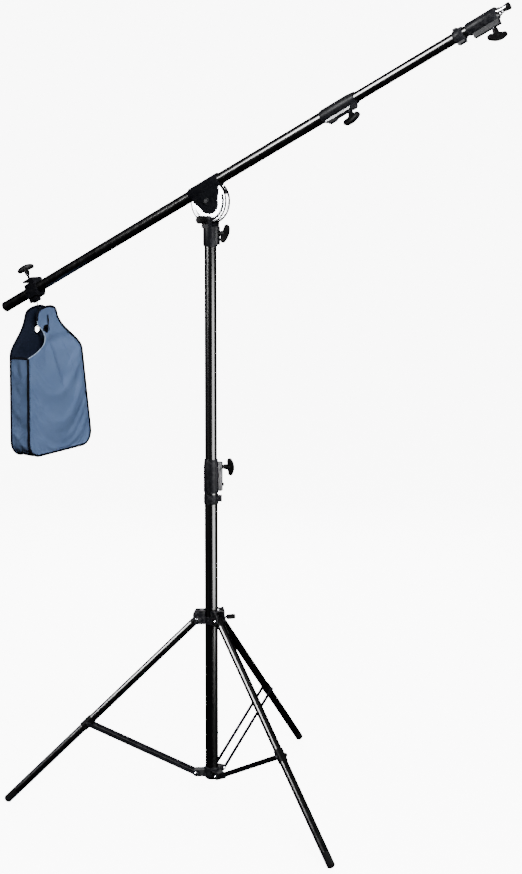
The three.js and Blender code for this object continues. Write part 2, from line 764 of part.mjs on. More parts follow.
function boomSleeve() {
  const bore = boomOuter.radius + runningGap;
  const radius = bore + sleeve.wall;
  const tube = alongX(turned([
    [bore, sleeve.tailEnd],
    [radius - sleeve.wall / 2, sleeve.tailEnd],
    [radius, sleeve.tailEnd + sleeve.chamfer],
    [radius, sleeve.tipEnd - sleeve.chamfer],
    [radius - sleeve.wall / 2, sleeve.tipEnd],
    [bore, sleeve.tipEnd],
    [bore, sleeve.tailEnd],
  ])).translate(0, 0, pivot.boomOffset);
  const webs = [-1, 1].map((side) => uprightSlab(slab(webShape(), sleeve.webThickness, 9))
    .translate(0, (side * (webInner + webOuter)) / 2, 0));
  const boreCut = alongX(rod(bore, sleeve.tailEnd - cutOverrun, sleeve.tipEnd + cutOverrun))
    .translate(0, 0, pivot.boomOffset);
  const hole = alongY(rod(pivotBolt.radius + runningGap, -webOuter - cutOverrun, webOuter + cutOverrun,
    smallSides));
  return piece('boom_sleeve', cut(joined(tube, ...webs), boreCut, hole), 'casting');
}

function quadrantPlate(name, side) {
  const flat = pivot.boomOffset - boomOuter.radius - runningGap - sleeve.wall - quadrant.topBelowSleeve;
  const flatAngle = Math.asin(flat / quadrant.radius);
  const shape = new THREE.Shape();
  shape.absarc(0, 0, quadrant.radius, turn / 2 - flatAngle, turn + flatAngle, false);
  const slot = new THREE.Path();
  const down = (3 * turn) / 4;
  const outer = quadrant.slotRadius + quadrant.slotHalfWidth;
  const inner = quadrant.slotRadius - quadrant.slotHalfWidth;
  const from = down - quadrant.slotHalfAngle;
  const to = down + quadrant.slotHalfAngle;
  slot.absarc(0, 0, outer, from, to, false);
  slot.absarc(quadrant.slotRadius * Math.cos(to), quadrant.slotRadius * Math.sin(to),
    quadrant.slotHalfWidth, to, to + turn / 2, false);
  slot.absarc(0, 0, inner, to, from, true);
  slot.absarc(quadrant.slotRadius * Math.cos(from), quadrant.slotRadius * Math.sin(from),
    quadrant.slotHalfWidth, from + turn / 2, from + turn, false);
  shape.holes.push(slot);
  const plate = uprightSlab(slab(shape, quadrant.thickness, 11)).translate(0, side * quadrant.halfSpacing, 0);
  const hole = alongY(rod(pivotBolt.radius + runningGap, -webOuter, webOuter, smallSides));
  return piece(name, cut(plate, hole), 'zinc');
}

function tiltPivotBolt() {
  const seat = webOuter + runningGap;
  const washerTop = seat + pivotBolt.washerHeight;
  const crown = washerTop + pivotBolt.headHeight;
  const half = [
    [pivotBolt.radius, seat],
    [pivotBolt.washer, seat],
    [pivotBolt.washer, washerTop],
    [pivotBolt.head, washerTop],
    [pivotBolt.head, crown - 1 * pivotBolt.washerHeight],
    [pivotBolt.head - pivotBolt.washerHeight, crown],
    [0, crown],
  ];
  const mirrored = half.map(([radius, y]) => [radius, -y]).reverse();
  return piece('tilt_pivot_bolt', alongY(turned([...mirrored, ...half], smallSides)), 'casting');
}

// Boom tubes, with the same kind of clamp as the mast but its bar standing out of the channel
const tailCap = { lip: 0.5, flange: 4, insert: 22, round: 2 };

function boomTailCap() {
  const shoulder = boomOuter.tailEnd - runningGap;
  const insert = boomOuter.radius - boomOuter.wall - runningGap;
  const radius = boomOuter.radius + tailCap.lip;
  return piece('boom_tail_cap', alongX(turned([
    [0, shoulder - tailCap.flange],
    [radius - tailCap.round, shoulder - tailCap.flange],
    [radius, shoulder - tailCap.flange + tailCap.round],
    [radius, shoulder],
    [insert, shoulder],
    [insert, shoulder + tailCap.insert],
    [0, shoulder + tailCap.insert],
  ])).translate(0, 0, pivot.boomOffset), 'plastic');
}

// The boom's clamp is the mast's kind: its boss leans out to -Y, and a black bar presses on the channel
const boomClamp = {
  foot: 400,
  length: 104,
  lean: THREE.MathUtils.degToRad(20),
  bossReach: 20.4,
  channelStart: 11,
  channelEnd: 87,
  channelReach: 24.4,
  barStart: 13,
  barShoulder: 18,
  barWaist: 36,
  barNeck: 44,
  barEnd: 86,
  barReach: 30,
  barTaperReach: 25.4,
  lugStart: 89,
  lugEnd: 103,
  lugReach: 27,
  lugChamfer: 4,
  knobShare: 0.83,
  knobTurn: THREE.MathUtils.degToRad(10),
  knobStemReach: 6,
};

function boomClampParts() {
  const group = new THREE.Group();
  group.position.set(boomClamp.foot, 0, pivot.boomOffset);
  group.rotation.set(-boomClamp.lean, turn / 4, 0);
  const tubeEnd = boomOuter.tipEnd - boomClamp.foot;
  const knobHeight = bossHeightAt(boomClamp.length, boomClamp.knobShare);
  const stemTip = boomInner.radius + runningGap;
  const knobHole = acrossX(stemHole, boomInner.radius, boomClamp.barReach + cutOverrun, knobHeight);
  const body = clampBody(boomOuter, boomInner, boomClamp.length, tubeEnd, boomClamp.bossReach);
  const lugShape = new THREE.Shape();
  lugShape.moveTo(boomOuter.radius + runningGap, boomClamp.lugStart);
  lugShape.lineTo(boomClamp.lugReach, boomClamp.lugStart);
  lugShape.lineTo(boomClamp.lugReach, boomClamp.lugEnd - boomClamp.lugChamfer);
  lugShape.lineTo(boomClamp.lugReach - boomClamp.lugChamfer, boomClamp.lugEnd);
  lugShape.lineTo(boomInner.radius + clamp.bodyWall, boomClamp.lugEnd);
  const lug = uprightSlab(slab(lugShape, 2 * clamp.bossHalfWidth));
  group.add(piece('boom_clamp_body', cut(joined(body, lug), knobHole,
    rod(boomInner.radius + runningGap, tubeEnd, boomClamp.length + cutOverrun)), 'casting'));

  const inside = clamp.bossHalfWidth + runningGap;
  const outside = inside + clamp.channelWall;
  const low = boomClamp.channelStart;
  const high = boomClamp.channelEnd;
  const floorStart = boomClamp.bossReach + runningGap;
  const floorEnd = floorStart + clamp.channelWall;
  const channel = cut(
    box(boomClamp.bossReach - cutOverrun, boomClamp.channelReach, -outside, outside, low, high),
    box(floorEnd, boomClamp.channelReach + cutOverrun, -inside, inside, low - cutOverrun, high + cutOverrun),
    box(boomClamp.bossReach - 2 * cutOverrun, floorStart, -inside, inside, low - cutOverrun, high + cutOverrun),
    rod(boomOuter.radius + clamp.bodyWall + 2 * runningGap, low - cutOverrun, high + cutOverrun),
    knobHole,
  );
  group.add(piece('boom_clamp_channel', channel, 'zinc'));

  const barFoot = floorEnd + runningGap;
  const barShape = new THREE.Shape();
  barShape.moveTo(barFoot, boomClamp.barStart);
  barShape.lineTo(boomClamp.barReach, boomClamp.barShoulder);
  barShape.lineTo(boomClamp.barReach, boomClamp.barWaist);
  barShape.lineTo(boomClamp.barTaperReach, boomClamp.barNeck);
  barShape.lineTo(boomClamp.barTaperReach, boomClamp.barEnd);
  barShape.lineTo(barFoot, boomClamp.barEnd);
  const bar = cut(uprightSlab(slab(barShape, 2 * clamp.bossHalfWidth)), knobHole);
  group.add(piece('boom_clamp_bar', bar, 'casting'));

  const knob = alongX(wingScrew(boomClamp.barTaperReach - stemTip, boomClamp.knobTurn,
    boomClamp.knobStemReach))
    .translate(boomClamp.barTaperReach, 0, knobHeight);
  group.add(piece('boom_clamp_knob', knob, 'plastic'));
  return group;
}

// Tip: a ring on the inner tube, the spigot head with its rib and wing screw, and the spigot
const tip = {
  ringInset: 74,
  ringLength: 26,
  ringWall: 3.6,
  ringLugReach: 21,
  ringUpperReach: 19,
  ringLugHalfWidth: 7,
  ringLugInset: 3,
  headGap: 10,
  headLength: 81,
  headWall: 2.7,
  headChamfer: 3,
  ribHalfWidth: 6.5,
  ribReach: 26,
  ribTailInset: 10,
  ribTipInset: 2,
  knobInset: 20,
  knobTurn: THREE.MathUtils.degToRad(120),
  spigotRadius: 8,
  spigotInset: 36,
  spigotReach: 33,
  flangeRadius: 10,
  flangeLength: 7,
  grooveRadius: 6.6,
  grooveInset: 19,
  grooveLength: 6,
  bandRadius: 8.8,
  bandLength: 7,
  bandBoss: 4,
};

const ringTail = boomInner.tipEnd - tip.ringInset;
const headTail = ringTail + tip.ringLength + tip.headGap;
const headTip = headTail + tip.headLength;
const tipKnobStation = headTip - tip.knobInset;
const spigotTail = headTip - tip.spigotInset;
const spigotTip = headTip + tip.spigotReach;
const grooveTail = spigotTip - tip.grooveInset;
const grooveTip = grooveTail + tip.grooveLength;

function tipRing() {
  const bore = boomInner.radius + runningGap;
  const end = ringTail + tip.ringLength;
  const radius = bore + tip.ringWall;
  const band = alongX(turned([
    [bore, ringTail],
    [radius - tip.ringWall / 2, ringTail],
    [radius, ringTail + tip.ringWall],
    [radius, end - tip.ringWall],
    [radius - tip.ringWall / 2, end],
    [bore, end],
    [bore, ringTail],
  ]));
  const lugTail = ringTail + tip.ringLugInset;
  const lugs = joined(
    box(lugTail, end - tip.ringLugInset, -tip.ringLugHalfWidth, tip.ringLugHalfWidth, -tip.ringLugReach, 0),
    box(lugTail, (ringTail + end) / 2, -tip.ringLugHalfWidth, tip.ringLugHalfWidth, -bore,
      tip.ringUpperReach),
  );
  const boreCut = alongX(rod(bore, ringTail - cutOverrun, end + cutOverrun));
  return piece('tip_ring', cut(joined(band, lugs), boreCut).translate(0, 0, pivot.boomOffset), 'casting');
}

function tipHead() {
  const bore = boomInner.radius + runningGap;
  const radius = bore + tip.headWall;
  const body = alongX(turned([
    [0, headTail],
    [radius - tip.headChamfer / 2, headTail],
    [radius, headTail + tip.headChamfer],
    [radius, headTip - tip.headChamfer],
    [radius - tip.headChamfer / 2, headTip],
    [0, headTip],
  ]));
  const rib = box(headTail + tip.ribTailInset, headTip - tip.ribTipInset,
    -tip.ribHalfWidth, tip.ribHalfWidth, -tip.ribReach, 0);
  const tubeBore = alongX(rod(bore, headTail - cutOverrun, boomInner.tipEnd + runningGap));
  const spigotBore = alongX(rod(tip.spigotRadius + runningGap, spigotTail - runningGap,
    headTip + cutOverrun));
  const knobHole = rod(stemHole, -tip.ribReach - cutOverrun, -tip.spigotRadius, smallSides)
    .translate(tipKnobStation, 0, 0);
  const solid = cut(joined(body, rib), tubeBore, spigotBore, knobHole);
  return piece('tip_head', solid.translate(0, 0, pivot.boomOffset), 'casting');
}

function tipKnob() {
  const stemTip = tip.spigotRadius + runningGap;
  const screw = wingScrew(tip.ribReach - stemTip, tip.knobTurn)
    .rotateX(turn / 2)
    .translate(tipKnobStation, 0, pivot.boomOffset - tip.ribReach);
  return piece('tip_knob', screw, 'plastic');
}

function spigotPieces() {
  const flangeTail = headTip + runningGap;
  const spigot = alongX(turned([
    [0, spigotTail],
    [tip.spigotRadius, spigotTail],
    [tip.spigotRadius, flangeTail],
    [tip.flangeRadius, flangeTail],
    [tip.flangeRadius, flangeTail + tip.flangeLength],
    [tip.spigotRadius, flangeTail + tip.flangeLength],
    [tip.spigotRadius, grooveTail],
    [tip.grooveRadius, grooveTail],
    [tip.grooveRadius, grooveTip],
    [tip.spigotRadius, grooveTip],
    [tip.spigotRadius, spigotTip - tip.bandLength],
    [tip.bandBoss, spigotTip - tip.bandLength],
    [tip.bandBoss, spigotTip - tip.bandLength / 2],
    [0, spigotTip - tip.bandLength / 2],
  ])).translate(0, 0, pivot.boomOffset);
  const bandTail = spigotTip - tip.bandLength + runningGap;
  const band = alongX(turned([
    [tip.bandBoss + runningGap, bandTail],
    [tip.bandRadius, bandTail],
    [tip.bandRadius, spigotTip],
    [0, spigotTip],
    [0, spigotTip - tip.bandLength / 2 + runningGap],
    [tip.bandBoss + runningGap, spigotTip - tip.bandLength / 2 + runningGap],
    [tip.bandBoss + runningGap, bandTail],
  ])).translate(0, 0, pivot.boomOffset);
  return [piece('spigot', spigot, 'zinc'), piece('spigot_band', band, 'plastic')];
}

// Tail clamp: a block on the tube with an open jaw above it for the wing screw, and a lug below for the hook
const tail = {
  station: -681,
  tailReach: 13,
  lowerTailReach: 20,
  tipReach: 27,
  lowerTipReach: 21,
  stepHeight: -6,
  halfWidth: 20,
  blockBottom: -22,
  blockTop: 19.5,
  jawTop: 31.6,
  jawThickness: 5,
  jawBackTail: 8,
  chamfer: 4,
  lugBottom: -32.5,
  lugTail: -21,
  lugTip: 7,
  lugHalfWidth: 10,
  pinStation: 1,
  pinHeight: -27.5,
  pinRadius: 2,
  slotHalfWidth: 3.4,
  slotTop: -21.4,
  knobStation: -3,
  knobTurn: THREE.MathUtils.degToRad(17),
  knobStemReach: 18,
};

function tailBlockShape() {
  const shape = new THREE.Shape();
  shape.moveTo(-tail.lowerTailReach, tail.blockBottom + tail.chamfer);
  shape.lineTo(-tail.lowerTailReach + tail.chamfer, tail.blockBottom);
  shape.lineTo(tail.lowerTipReach - tail.chamfer, tail.blockBottom);
  shape.lineTo(tail.lowerTipReach, tail.blockBottom + tail.chamfer);
  shape.lineTo(tail.tipReach, tail.stepHeight);
  shape.lineTo(tail.tipReach, tail.jawTop - tail.chamfer);
  shape.lineTo(tail.tipReach - tail.chamfer, tail.jawTop);
  shape.lineTo(-tail.tailReach, tail.jawTop);
  shape.lineTo(-tail.tailReach, tail.stepHeight);
  shape.lineTo(-tail.lowerTailReach, tail.stepHeight - tail.chamfer);
  return shape;
}

function tailClampBody() {
  const bore = boomOuter.radius + runningGap;
  const block = uprightSlab(slab(tailBlockShape(), 2 * tail.halfWidth));
  const opening = box(-tail.tailReach - cutOverrun, tail.jawBackTail, -tail.halfWidth - cutOverrun,
    tail.halfWidth + cutOverrun, tail.blockTop, tail.jawTop - tail.jawThickness);
  const lug = box(tail.lugTail, tail.lugTip, -tail.lugHalfWidth, tail.lugHalfWidth, tail.lugBottom,
    tail.blockBottom + cutOverrun);
  const slot = box(tail.lugTail - cutOverrun, tail.lugTip + cutOverrun, -tail.slotHalfWidth,
    tail.slotHalfWidth, tail.lugBottom - cutOverrun, tail.slotTop);
  const pinBore = alongY(rod(tail.pinRadius + runningGap, -tail.lugHalfWidth - cutOverrun,
    tail.lugHalfWidth + cutOverrun, smallSides)).translate(tail.pinStation, 0, tail.pinHeight);
  const knobHole = rod(stemHole, boomOuter.radius, tail.jawTop + cutOverrun, smallSides)
    .translate(tail.knobStation, 0, 0);
  const tubeBore = alongX(rod(bore, -tail.lowerTailReach - cutOverrun, tail.tipReach + cutOverrun));
  const solid = cut(joined(block, lug), opening, slot, pinBore, knobHole, tubeBore);
  return piece('tail_clamp_body', solid.translate(tail.station, 0, pivot.boomOffset), 'casting');
}

function hookPin() {
  const end = tail.lugHalfWidth + runningGap;
  const pin = alongY(turned([
    [0, -end - tail.pinRadius],
    [tail.pinRadius * 2, -end - tail.pinRadius],
    [tail.pinRadius * 2, -end],
    [tail.pinRadius, -end],
    [tail.pinRadius, end],
    [tail.pinRadius * 2, end],
    [tail.pinRadius * 2, end + tail.pinRadius],
    [0, end + tail.pinRadius],
  ], smallSides));
  return piece('hook_pin', pin.translate(tail.station + tail.pinStation, 0,
    pivot.boomOffset + tail.pinHeight), 'zinc');
}

function tailKnob() {
  const stemTip = boomOuter.radius + runningGap;
  const screw = wingScrew(tail.jawTop - stemTip, tail.knobTurn, tail.knobStemReach)
    .translate(tail.station + tail.knobStation, 0, pivot.boomOffset + tail.jawTop);
  return piece('tail_knob', screw, 'plastic');
}

function boom() {
  const group = new THREE.Group();
  group.position.z = pivot.height;
  group.rotation.y = -pivot.tilt;
  const knobStation = boomClamp.foot + bossHeightAt(boomClamp.length, boomClamp.knobShare);
  const outer = cut(
    alongX(pipe(boomOuter.radius, boomOuter.radius - boomOuter.wall, boomOuter.tailEnd, boomOuter.tipEnd)),
    rod(stemHole, -boomOuter.radius - cutOverrun, 0, smallSides).rotateX(-boomClamp.lean)
      .translate(knobStation, 0, 0),
  ).translate(0, 0, pivot.boomOffset);
  const inner = alongX(pipe(boomInner.radius, boomInner.radius - boomInner.wall,
    boomInner.tailEnd, boomInner.tipEnd)).translate(0, 0, pivot.boomOffset);
  group.add(
    boomSleeve(), quadrantPlate('quadrant_near', -1), quadrantPlate('quadrant_far', 1), tiltPivotBolt(),
    piece('boom_outer_tube', outer, 'black'), boomTailCap(), boomClampParts(),
    piece('boom_inner_tube', inner, 'black'), tipRing(), tipHead(), tipKnob(), ...spigotPieces(),
    tailClampBody(), hookPin(), tailKnob(),
  );
  return group;
}

// Hook: an eye round the clamp's pin, a slanted stem and two prongs through the bag's eyelets
const hook = {
  wire: 1.6,
  eyeRadius: 5,
  eyeSides: 16,
  shiftX: 10,
  shiftY: 10,
  drop: 79,
  bend: 14,
  barFront: 22,
  barBack: 31,
  prongRise: 34,
  prongBend: 6,
};

const hookPinAlong = tail.station + tail.pinStation;
const hookPinUp = pivot.boomOffset + tail.pinHeight;
const hookEye = new THREE.Vector3(
  hookPinAlong * Math.cos(pivot.tilt) - hookPinUp * Math.sin(pivot.tilt),
  0,
  pivot.height + hookPinAlong * Math.sin(pivot.tilt) + hookPinUp * Math.cos(pivot.tilt),
);

function wireAlong(points, steps) {
  const path = new THREE.CatmullRomCurve3(points.map((p) => new THREE.Vector3(...p)), false, 'centripetal');
  const section = new THREE.Shape().absarc(0, 0, hook.wire, 0, turn, false);
  return new THREE.ExtrudeGeometry(section, { steps, extrudePath: path, curveSegments: 4, bevelEnabled: false });
}

// The eye hangs on the top of its inside, so its centre lies below the pin
const eyeDrop = hook.eyeRadius - hook.wire - tail.pinRadius - runningGap;

function bagHook() {
  const eyeBottom = -eyeDrop - hook.eyeRadius;
  const eye = new THREE.TorusGeometry(hook.eyeRadius, hook.wire, 8, hook.eyeSides)
    .rotateX(turn / 4)
    .translate(0, 0, -eyeDrop);
  const { shiftX, shiftY, drop, bend, barFront, barBack, prongRise, prongBend } = hook;
  const stem = wireAlong([
    [0, 0, eyeBottom],
    [0, 0, eyeBottom - bend / 2],
    [shiftX / 2, shiftY / 2, (eyeBottom - drop) / 2 + bend / 2],
    [shiftX, shiftY, -drop + bend],
    [shiftX, shiftY, -drop],
  ], 10);
  const prongs = wireAlong([
    [shiftX - barBack, shiftY, -drop + prongRise],
    [shiftX - barBack, shiftY, -drop + prongBend],
    [shiftX - barBack + prongBend, shiftY, -drop],
    [shiftX, shiftY, -drop],
    [shiftX + barFront - prongBend, shiftY, -drop],
    [shiftX + barFront, shiftY, -drop + prongBend],
    [shiftX + barFront, shiftY, -drop + prongRise],
  ], 20);
  return piece('bag_hook', joined(eye, stem, prongs).translate(...hookEye), 'zinc');
}

// Sandbag: an open-topped tub whose front and back panels run up into two tongues.
// The top of each tongue's eyelet rests on the hook's cross bar.
// Drawn about the hook's cross bar: X is the bag's thickness, Y its width and Z its height
const bag = {
  wall: 4,
  floor: 6,
  halfDepth: 35,
  centreShift: 10.5,
  topHalfWidth: 113,
  bottomHalfWidth: 134,
  bottom: -362,
  gussetTop: -80,
  cornerRadius: 44,
  tongueTop: 58,
  tongueRoundStart: 20,
  frontOffset: 15,
  backOffset: 23,
  topOffset: 19.5,
  eyeletHalfWidth: 9,
  eyeletHalfHeight: 10,
  lean: THREE.MathUtils.degToRad(3.5),
  bulge: 8,
};

// The panels' edges above the gusset: how wide the tongue starts and how the shoulder falls.
// The front panel's -Y edge draws in to a waist below the tongue
const bagEdges = {
  frontRight: { tongue: 33, from: 44 },
  backRight: { tongue: 33, from: 44 },
  backLeft: { tongue: 56, from: 42 },
  frontLeft: { tongue: 47, from: 18, waist: 23, waistHeight: -22, fall: 2.2 },
};

const eased = (share) => (1 - Math.cos((share * turn) / 2)) / 2;

function bagSide(height) {
  const share = (height - bag.bottom) / (bag.gussetTop - bag.bottom);
  const side = bag.bottomHalfWidth + (bag.topHalfWidth - bag.bottomHalfWidth) * share;
  const missing = bag.cornerRadius - (height - bag.bottom);
  if (missing <= 0) return side;
  return side - bag.cornerRadius + Math.sqrt(Math.max(0, bag.cornerRadius ** 2 - missing ** 2));
}

function bagEdge(height, edge) {
  if (height <= bag.gussetTop) return bagSide(height);
  const topShare = Math.max(0, (height - bag.tongueRoundStart) / (bag.tongueTop - bag.tongueRoundStart));
  const rounding = Math.sqrt(Math.max(0, 1 - topShare ** 4));
  const bottomWidth = bagSide(bag.gussetTop);
  if (height >= edge.from) return edge.tongue * rounding;
  if (edge.waist && height >= edge.waistHeight) {
    const share = (edge.from - height) / (edge.from - edge.waistHeight);
    return (edge.tongue + (edge.waist - edge.tongue) * eased(share)) * rounding;
  }
  if (edge.waist) {
    const share = (edge.waistHeight - height) / (edge.waistHeight - bag.gussetTop);
    return edge.waist + (bottomWidth - edge.waist) * share ** edge.fall;
  }
  const share = (edge.from - height) / (edge.from - bag.gussetTop);
  return (edge.tongue + (bottomWidth - edge.tongue) * eased(share)) * rounding;
}

// Distance of the panel's outer face from the bag's middle plane
function bagHalfDepth(height, acrossShare, side) {
  const belly = bag.bulge * (1 - acrossShare ** 2);
  if (height <= bag.gussetTop) {
    const share = (height - bag.bottom) / (bag.gussetTop - bag.bottom);
    return bag.halfDepth + belly * Math.sin((share * turn) / 2);
  }
  const offset = side > 0 ? bag.frontOffset : bag.backOffset;
  if (height <= 0) {
    const share = (height - bag.gussetTop) / (0 - bag.gussetTop);
    return bag.halfDepth + (offset - bag.halfDepth) * eased(share);
  }
  return offset + (bag.topOffset - offset) * (height / bag.tongueTop) ** 2;
}

const bagGrid = { rows: 24, columns: 8, topShare: 0.99 };

// A panel is a sheet of even thickness: its outer and inner faces and the rim between them
function bagPanel(side) {
  const positions = [];
  const { rows, columns } = bagGrid;
  const left = (height) => bagEdge(height, side > 0 ? bagEdges.frontLeft : bagEdges.backLeft);
  const right = (height) => bagEdge(height, side > 0 ? bagEdges.frontRight : bagEdges.backRight);
  const top = bag.bottom + (bag.tongueTop - bag.bottom) * bagGrid.topShare;
  for (const inset of [0, bag.wall]) {
    for (let row = 0; row <= rows; row += 1) {
      const height = bag.bottom + ((top - bag.bottom) * row) / rows;
      for (let column = 0; column <= columns; column += 1) {
        const share = (2 * column) / columns - 1;
        const x = bagHalfDepth(height, share, side) - inset;
        const [low, high] = side > 0 ? [left(height), right(height)] : [right(height), left(height)];
        const across = (share < 0 ? low : high) * share;
        positions.push(side * x, side * across + bag.centreShift, height);
      }
    }
  }
  const layer = (rows + 1) * (columns + 1);
  const at = (sheet, row, column) => sheet * layer + row * (columns + 1) + column;
  const triangles = [];
  const quad = (a, b, c, d) => triangles.push(a, b, c, a, c, d);
  for (let row = 0; row < rows; row += 1) {
    for (let column = 0; column < columns; column += 1) {
      quad(at(0, row, column), at(0, row, column + 1), at(0, row + 1, column + 1), at(0, row + 1, column));
      quad(at(1, row, column), at(1, row + 1, column), at(1, row + 1, column + 1), at(1, row, column + 1));
    }
    quad(at(0, row, 0), at(0, row + 1, 0), at(1, row + 1, 0), at(1, row, 0));
    quad(at(0, row, columns), at(1, row, columns), at(1, row + 1, columns), at(0, row + 1, columns));
  }
  for (let column = 0; column < columns; column += 1) {
    quad(at(0, 0, column), at(1, 0, column), at(1, 0, column + 1), at(0, 0, column + 1));
    quad(at(0, rows, column), at(0, rows, column + 1), at(1, rows, column + 1), at(1, rows, column));
  }
  const geometry = new THREE.BufferGeometry();
  geometry.setAttribute('position', new THREE.Float32BufferAttribute(positions, 3));
  geometry.setIndex(triangles);
  const eyelet = alongX(rod(1, -1, 1, smallSides));
  eyelet.scale(bag.halfDepth * 2, bag.eyeletHalfWidth, bag.eyeletHalfHeight)
    .translate(side * bag.halfDepth * 2, 0, hook.wire + runningGap - bag.eyeletHalfHeight);
  return cut(geometry, eyelet);
}

// The gusset follows the panels' edge down one side, along the bottom and up the other side
function bagGusset() {
  const steps = 11;
  const outline = [];
  const heightAt = (share) => bag.gussetTop + (bag.bottom - bag.gussetTop) * share;
  for (let i = 0; i <= steps; i += 1) {
    const height = heightAt(Math.sin(((i / steps) * turn) / 4));
    outline.push([bagSide(height), height]);
  }
  const shape = new THREE.Shape();
  shape.moveTo(-outline[0][0], outline[0][1]);
  outline.forEach(([y, z]) => shape.lineTo(-y, z));
  [...outline].reverse().forEach(([y, z]) => shape.lineTo(y, z));
  const depth = 2 * (bag.halfDepth - bag.wall / 2);
  const filled = slab(shape, depth).rotateX(turn / 4).rotateZ(turn / 4);
  const innerScaleY = (bag.topHalfWidth - bag.wall) / bag.topHalfWidth;
  const middle = bag.gussetTop;
  const heightScale = (bag.gussetTop - bag.bottom - bag.floor) / (bag.gussetTop - bag.bottom);
  const inside = slab(shape, depth + 2 * cutOverrun).rotateX(turn / 4).rotateZ(turn / 4)
    .translate(0, 0, -middle)
    .scale(1, innerScaleY, heightScale)
    .translate(0, 0, middle + runningGap);
  return cut(filled, inside).translate(0, bag.centreShift, 0);
}

function sandbag() {
  const solid = joined(bagPanel(1), bagPanel(-1), bagGusset());
  solid.rotateX(bag.lean).translate(hookEye.x + hook.shiftX, hookEye.y + hook.shiftY, hookEye.z - hook.drop);
  return piece('sandbag', solid, 'cloth');
}

// Assembly

const assembly = new THREE.Group();
assembly.add(
  tripod(),
  lowerColumnTube(),
  columnFootPlug(),
  clampRing(),
  mastClampParts(),
  piece('upper_column_tube', pipe(upperColumn.radius, upperColumn.radius - upperColumn.wall,
    upperColumn.bottom, upperColumn.top), 'black'),
  mastFootBush(),
  headSocket(),
  headKnob(),
  tiltLockKnob(),
  boom(),
  bagHook(),
  sandbag(),
);

// The origin is put under the middle of the whole object, on the floor
const reach = new THREE.Box3().setFromObject(assembly, true);
const middle = reach.getCenter(new THREE.Vector3());
assembly.position.set(-middle.x, -middle.y, -reach.min.z);
assembly.updateMatrixWorld(true);

export default assembly;
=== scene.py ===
"""Overhead boom arm: materials, screws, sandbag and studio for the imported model. Metres, +Z up."""

import json
import math

import bmesh
import bpy
from mathutils import Matrix, Vector


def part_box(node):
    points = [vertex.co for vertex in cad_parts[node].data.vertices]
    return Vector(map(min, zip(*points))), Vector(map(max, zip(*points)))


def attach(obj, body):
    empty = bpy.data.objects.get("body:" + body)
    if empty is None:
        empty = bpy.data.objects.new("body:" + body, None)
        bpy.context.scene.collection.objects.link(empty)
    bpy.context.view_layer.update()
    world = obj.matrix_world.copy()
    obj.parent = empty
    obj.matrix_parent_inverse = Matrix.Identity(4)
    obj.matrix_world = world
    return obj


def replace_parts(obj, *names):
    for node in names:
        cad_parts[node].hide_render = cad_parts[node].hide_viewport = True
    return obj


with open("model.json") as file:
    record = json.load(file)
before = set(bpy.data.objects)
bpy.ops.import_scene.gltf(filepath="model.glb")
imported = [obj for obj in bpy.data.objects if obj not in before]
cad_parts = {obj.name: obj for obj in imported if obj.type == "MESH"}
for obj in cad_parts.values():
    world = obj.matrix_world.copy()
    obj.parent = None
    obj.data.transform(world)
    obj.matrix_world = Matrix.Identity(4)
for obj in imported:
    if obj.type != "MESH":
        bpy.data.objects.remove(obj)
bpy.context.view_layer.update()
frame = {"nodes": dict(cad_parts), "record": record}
NODES = frame["nodes"]
MM = 0.001
TURN = 2 * math.pi


def box_centre(node):
    low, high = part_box(node)
    return (Vector(low) + Vector(high)) / 2


COLUMN = box_centre("lower_column_tube").to_2d()


# Camera: fitted to the photo's feet, column and boom

BOOM_TURN = math.radians(36.05)
CAMERA_FROM_COLUMN = Vector((85.12, -4071.5, 1555.25)) * MM
CAMERA_PITCH = 0.1352
FOCAL_MM = 63.63
SENSOR_MM = 36
PRINCIPAL_SHIFT = 18 / 874
VIEW_DEPTH = 100


def make_camera():
    data = bpy.data.cameras.new("camera")
    data.lens = FOCAL_MM
    data.sensor_width = SENSOR_MM
    data.shift_x = PRINCIPAL_SHIFT
    data.clip_end = VIEW_DEPTH
    camera = bpy.data.objects.new("camera", data)
    bpy.context.scene.collection.objects.link(camera)
    spin = Matrix.Rotation(BOOM_TURN, 4, "Z")
    look = Matrix.Rotation(math.pi / 2 - CAMERA_PITCH, 4, "X")
    camera.matrix_world = (
        Matrix.Translation((*COLUMN, 0)) @ spin @ Matrix.Translation(CAMERA_FROM_COLUMN) @ look
    )
    bpy.context.scene.camera = camera


make_camera()


# Frames of the moving parts, as in the CAD

TILT = math.radians(24.41)
PIVOT_HEIGHT = 1621.2 * MM
BOOM_OFFSET = 39.5 * MM
BASE_FRAME = Matrix.Translation((*COLUMN, 0))
BOOM_FRAME = Matrix.Translation((*COLUMN, PIVOT_HEIGHT)) @ Matrix.Rotation(-TILT, 4, "Y")


def spin_z(degrees):
    return Matrix.Rotation(math.radians(degrees), 4, "Z")


def shift(x=0.0, y=0.0, z=0.0):
    return Matrix.Translation((x * MM, y * MM, z * MM))


QUARTER_Y = Matrix.Rotation(math.pi / 2, 4, "Y")
HALF_X = Matrix.Rotation(math.pi, 4, "X")


# Materials: colours are linear, a shader's lengths are in metres and its noise scales in waves per metre

# Radius from the pivot beyond which the quadrant plate's rim is painted with shade
QUADRANT_RIM = 53.8 * MM
RIM_BLUR = 0.6 * MM
TUBE_PAINT = (0.0006, 0.0006, 0.0008), (0.0014, 0.0014, 0.0018)
TUBE_RELIEF = 0.00002
CASTING_PAINT = (0.004, 0.0042, 0.0055), (0.009, 0.0094, 0.012)
CASTING_RELIEF = 0.00006
BARE_EDGE = (0.03, 0.03, 0.033)
EDGE_FROM, EDGE_TO = 0.53, 0.62
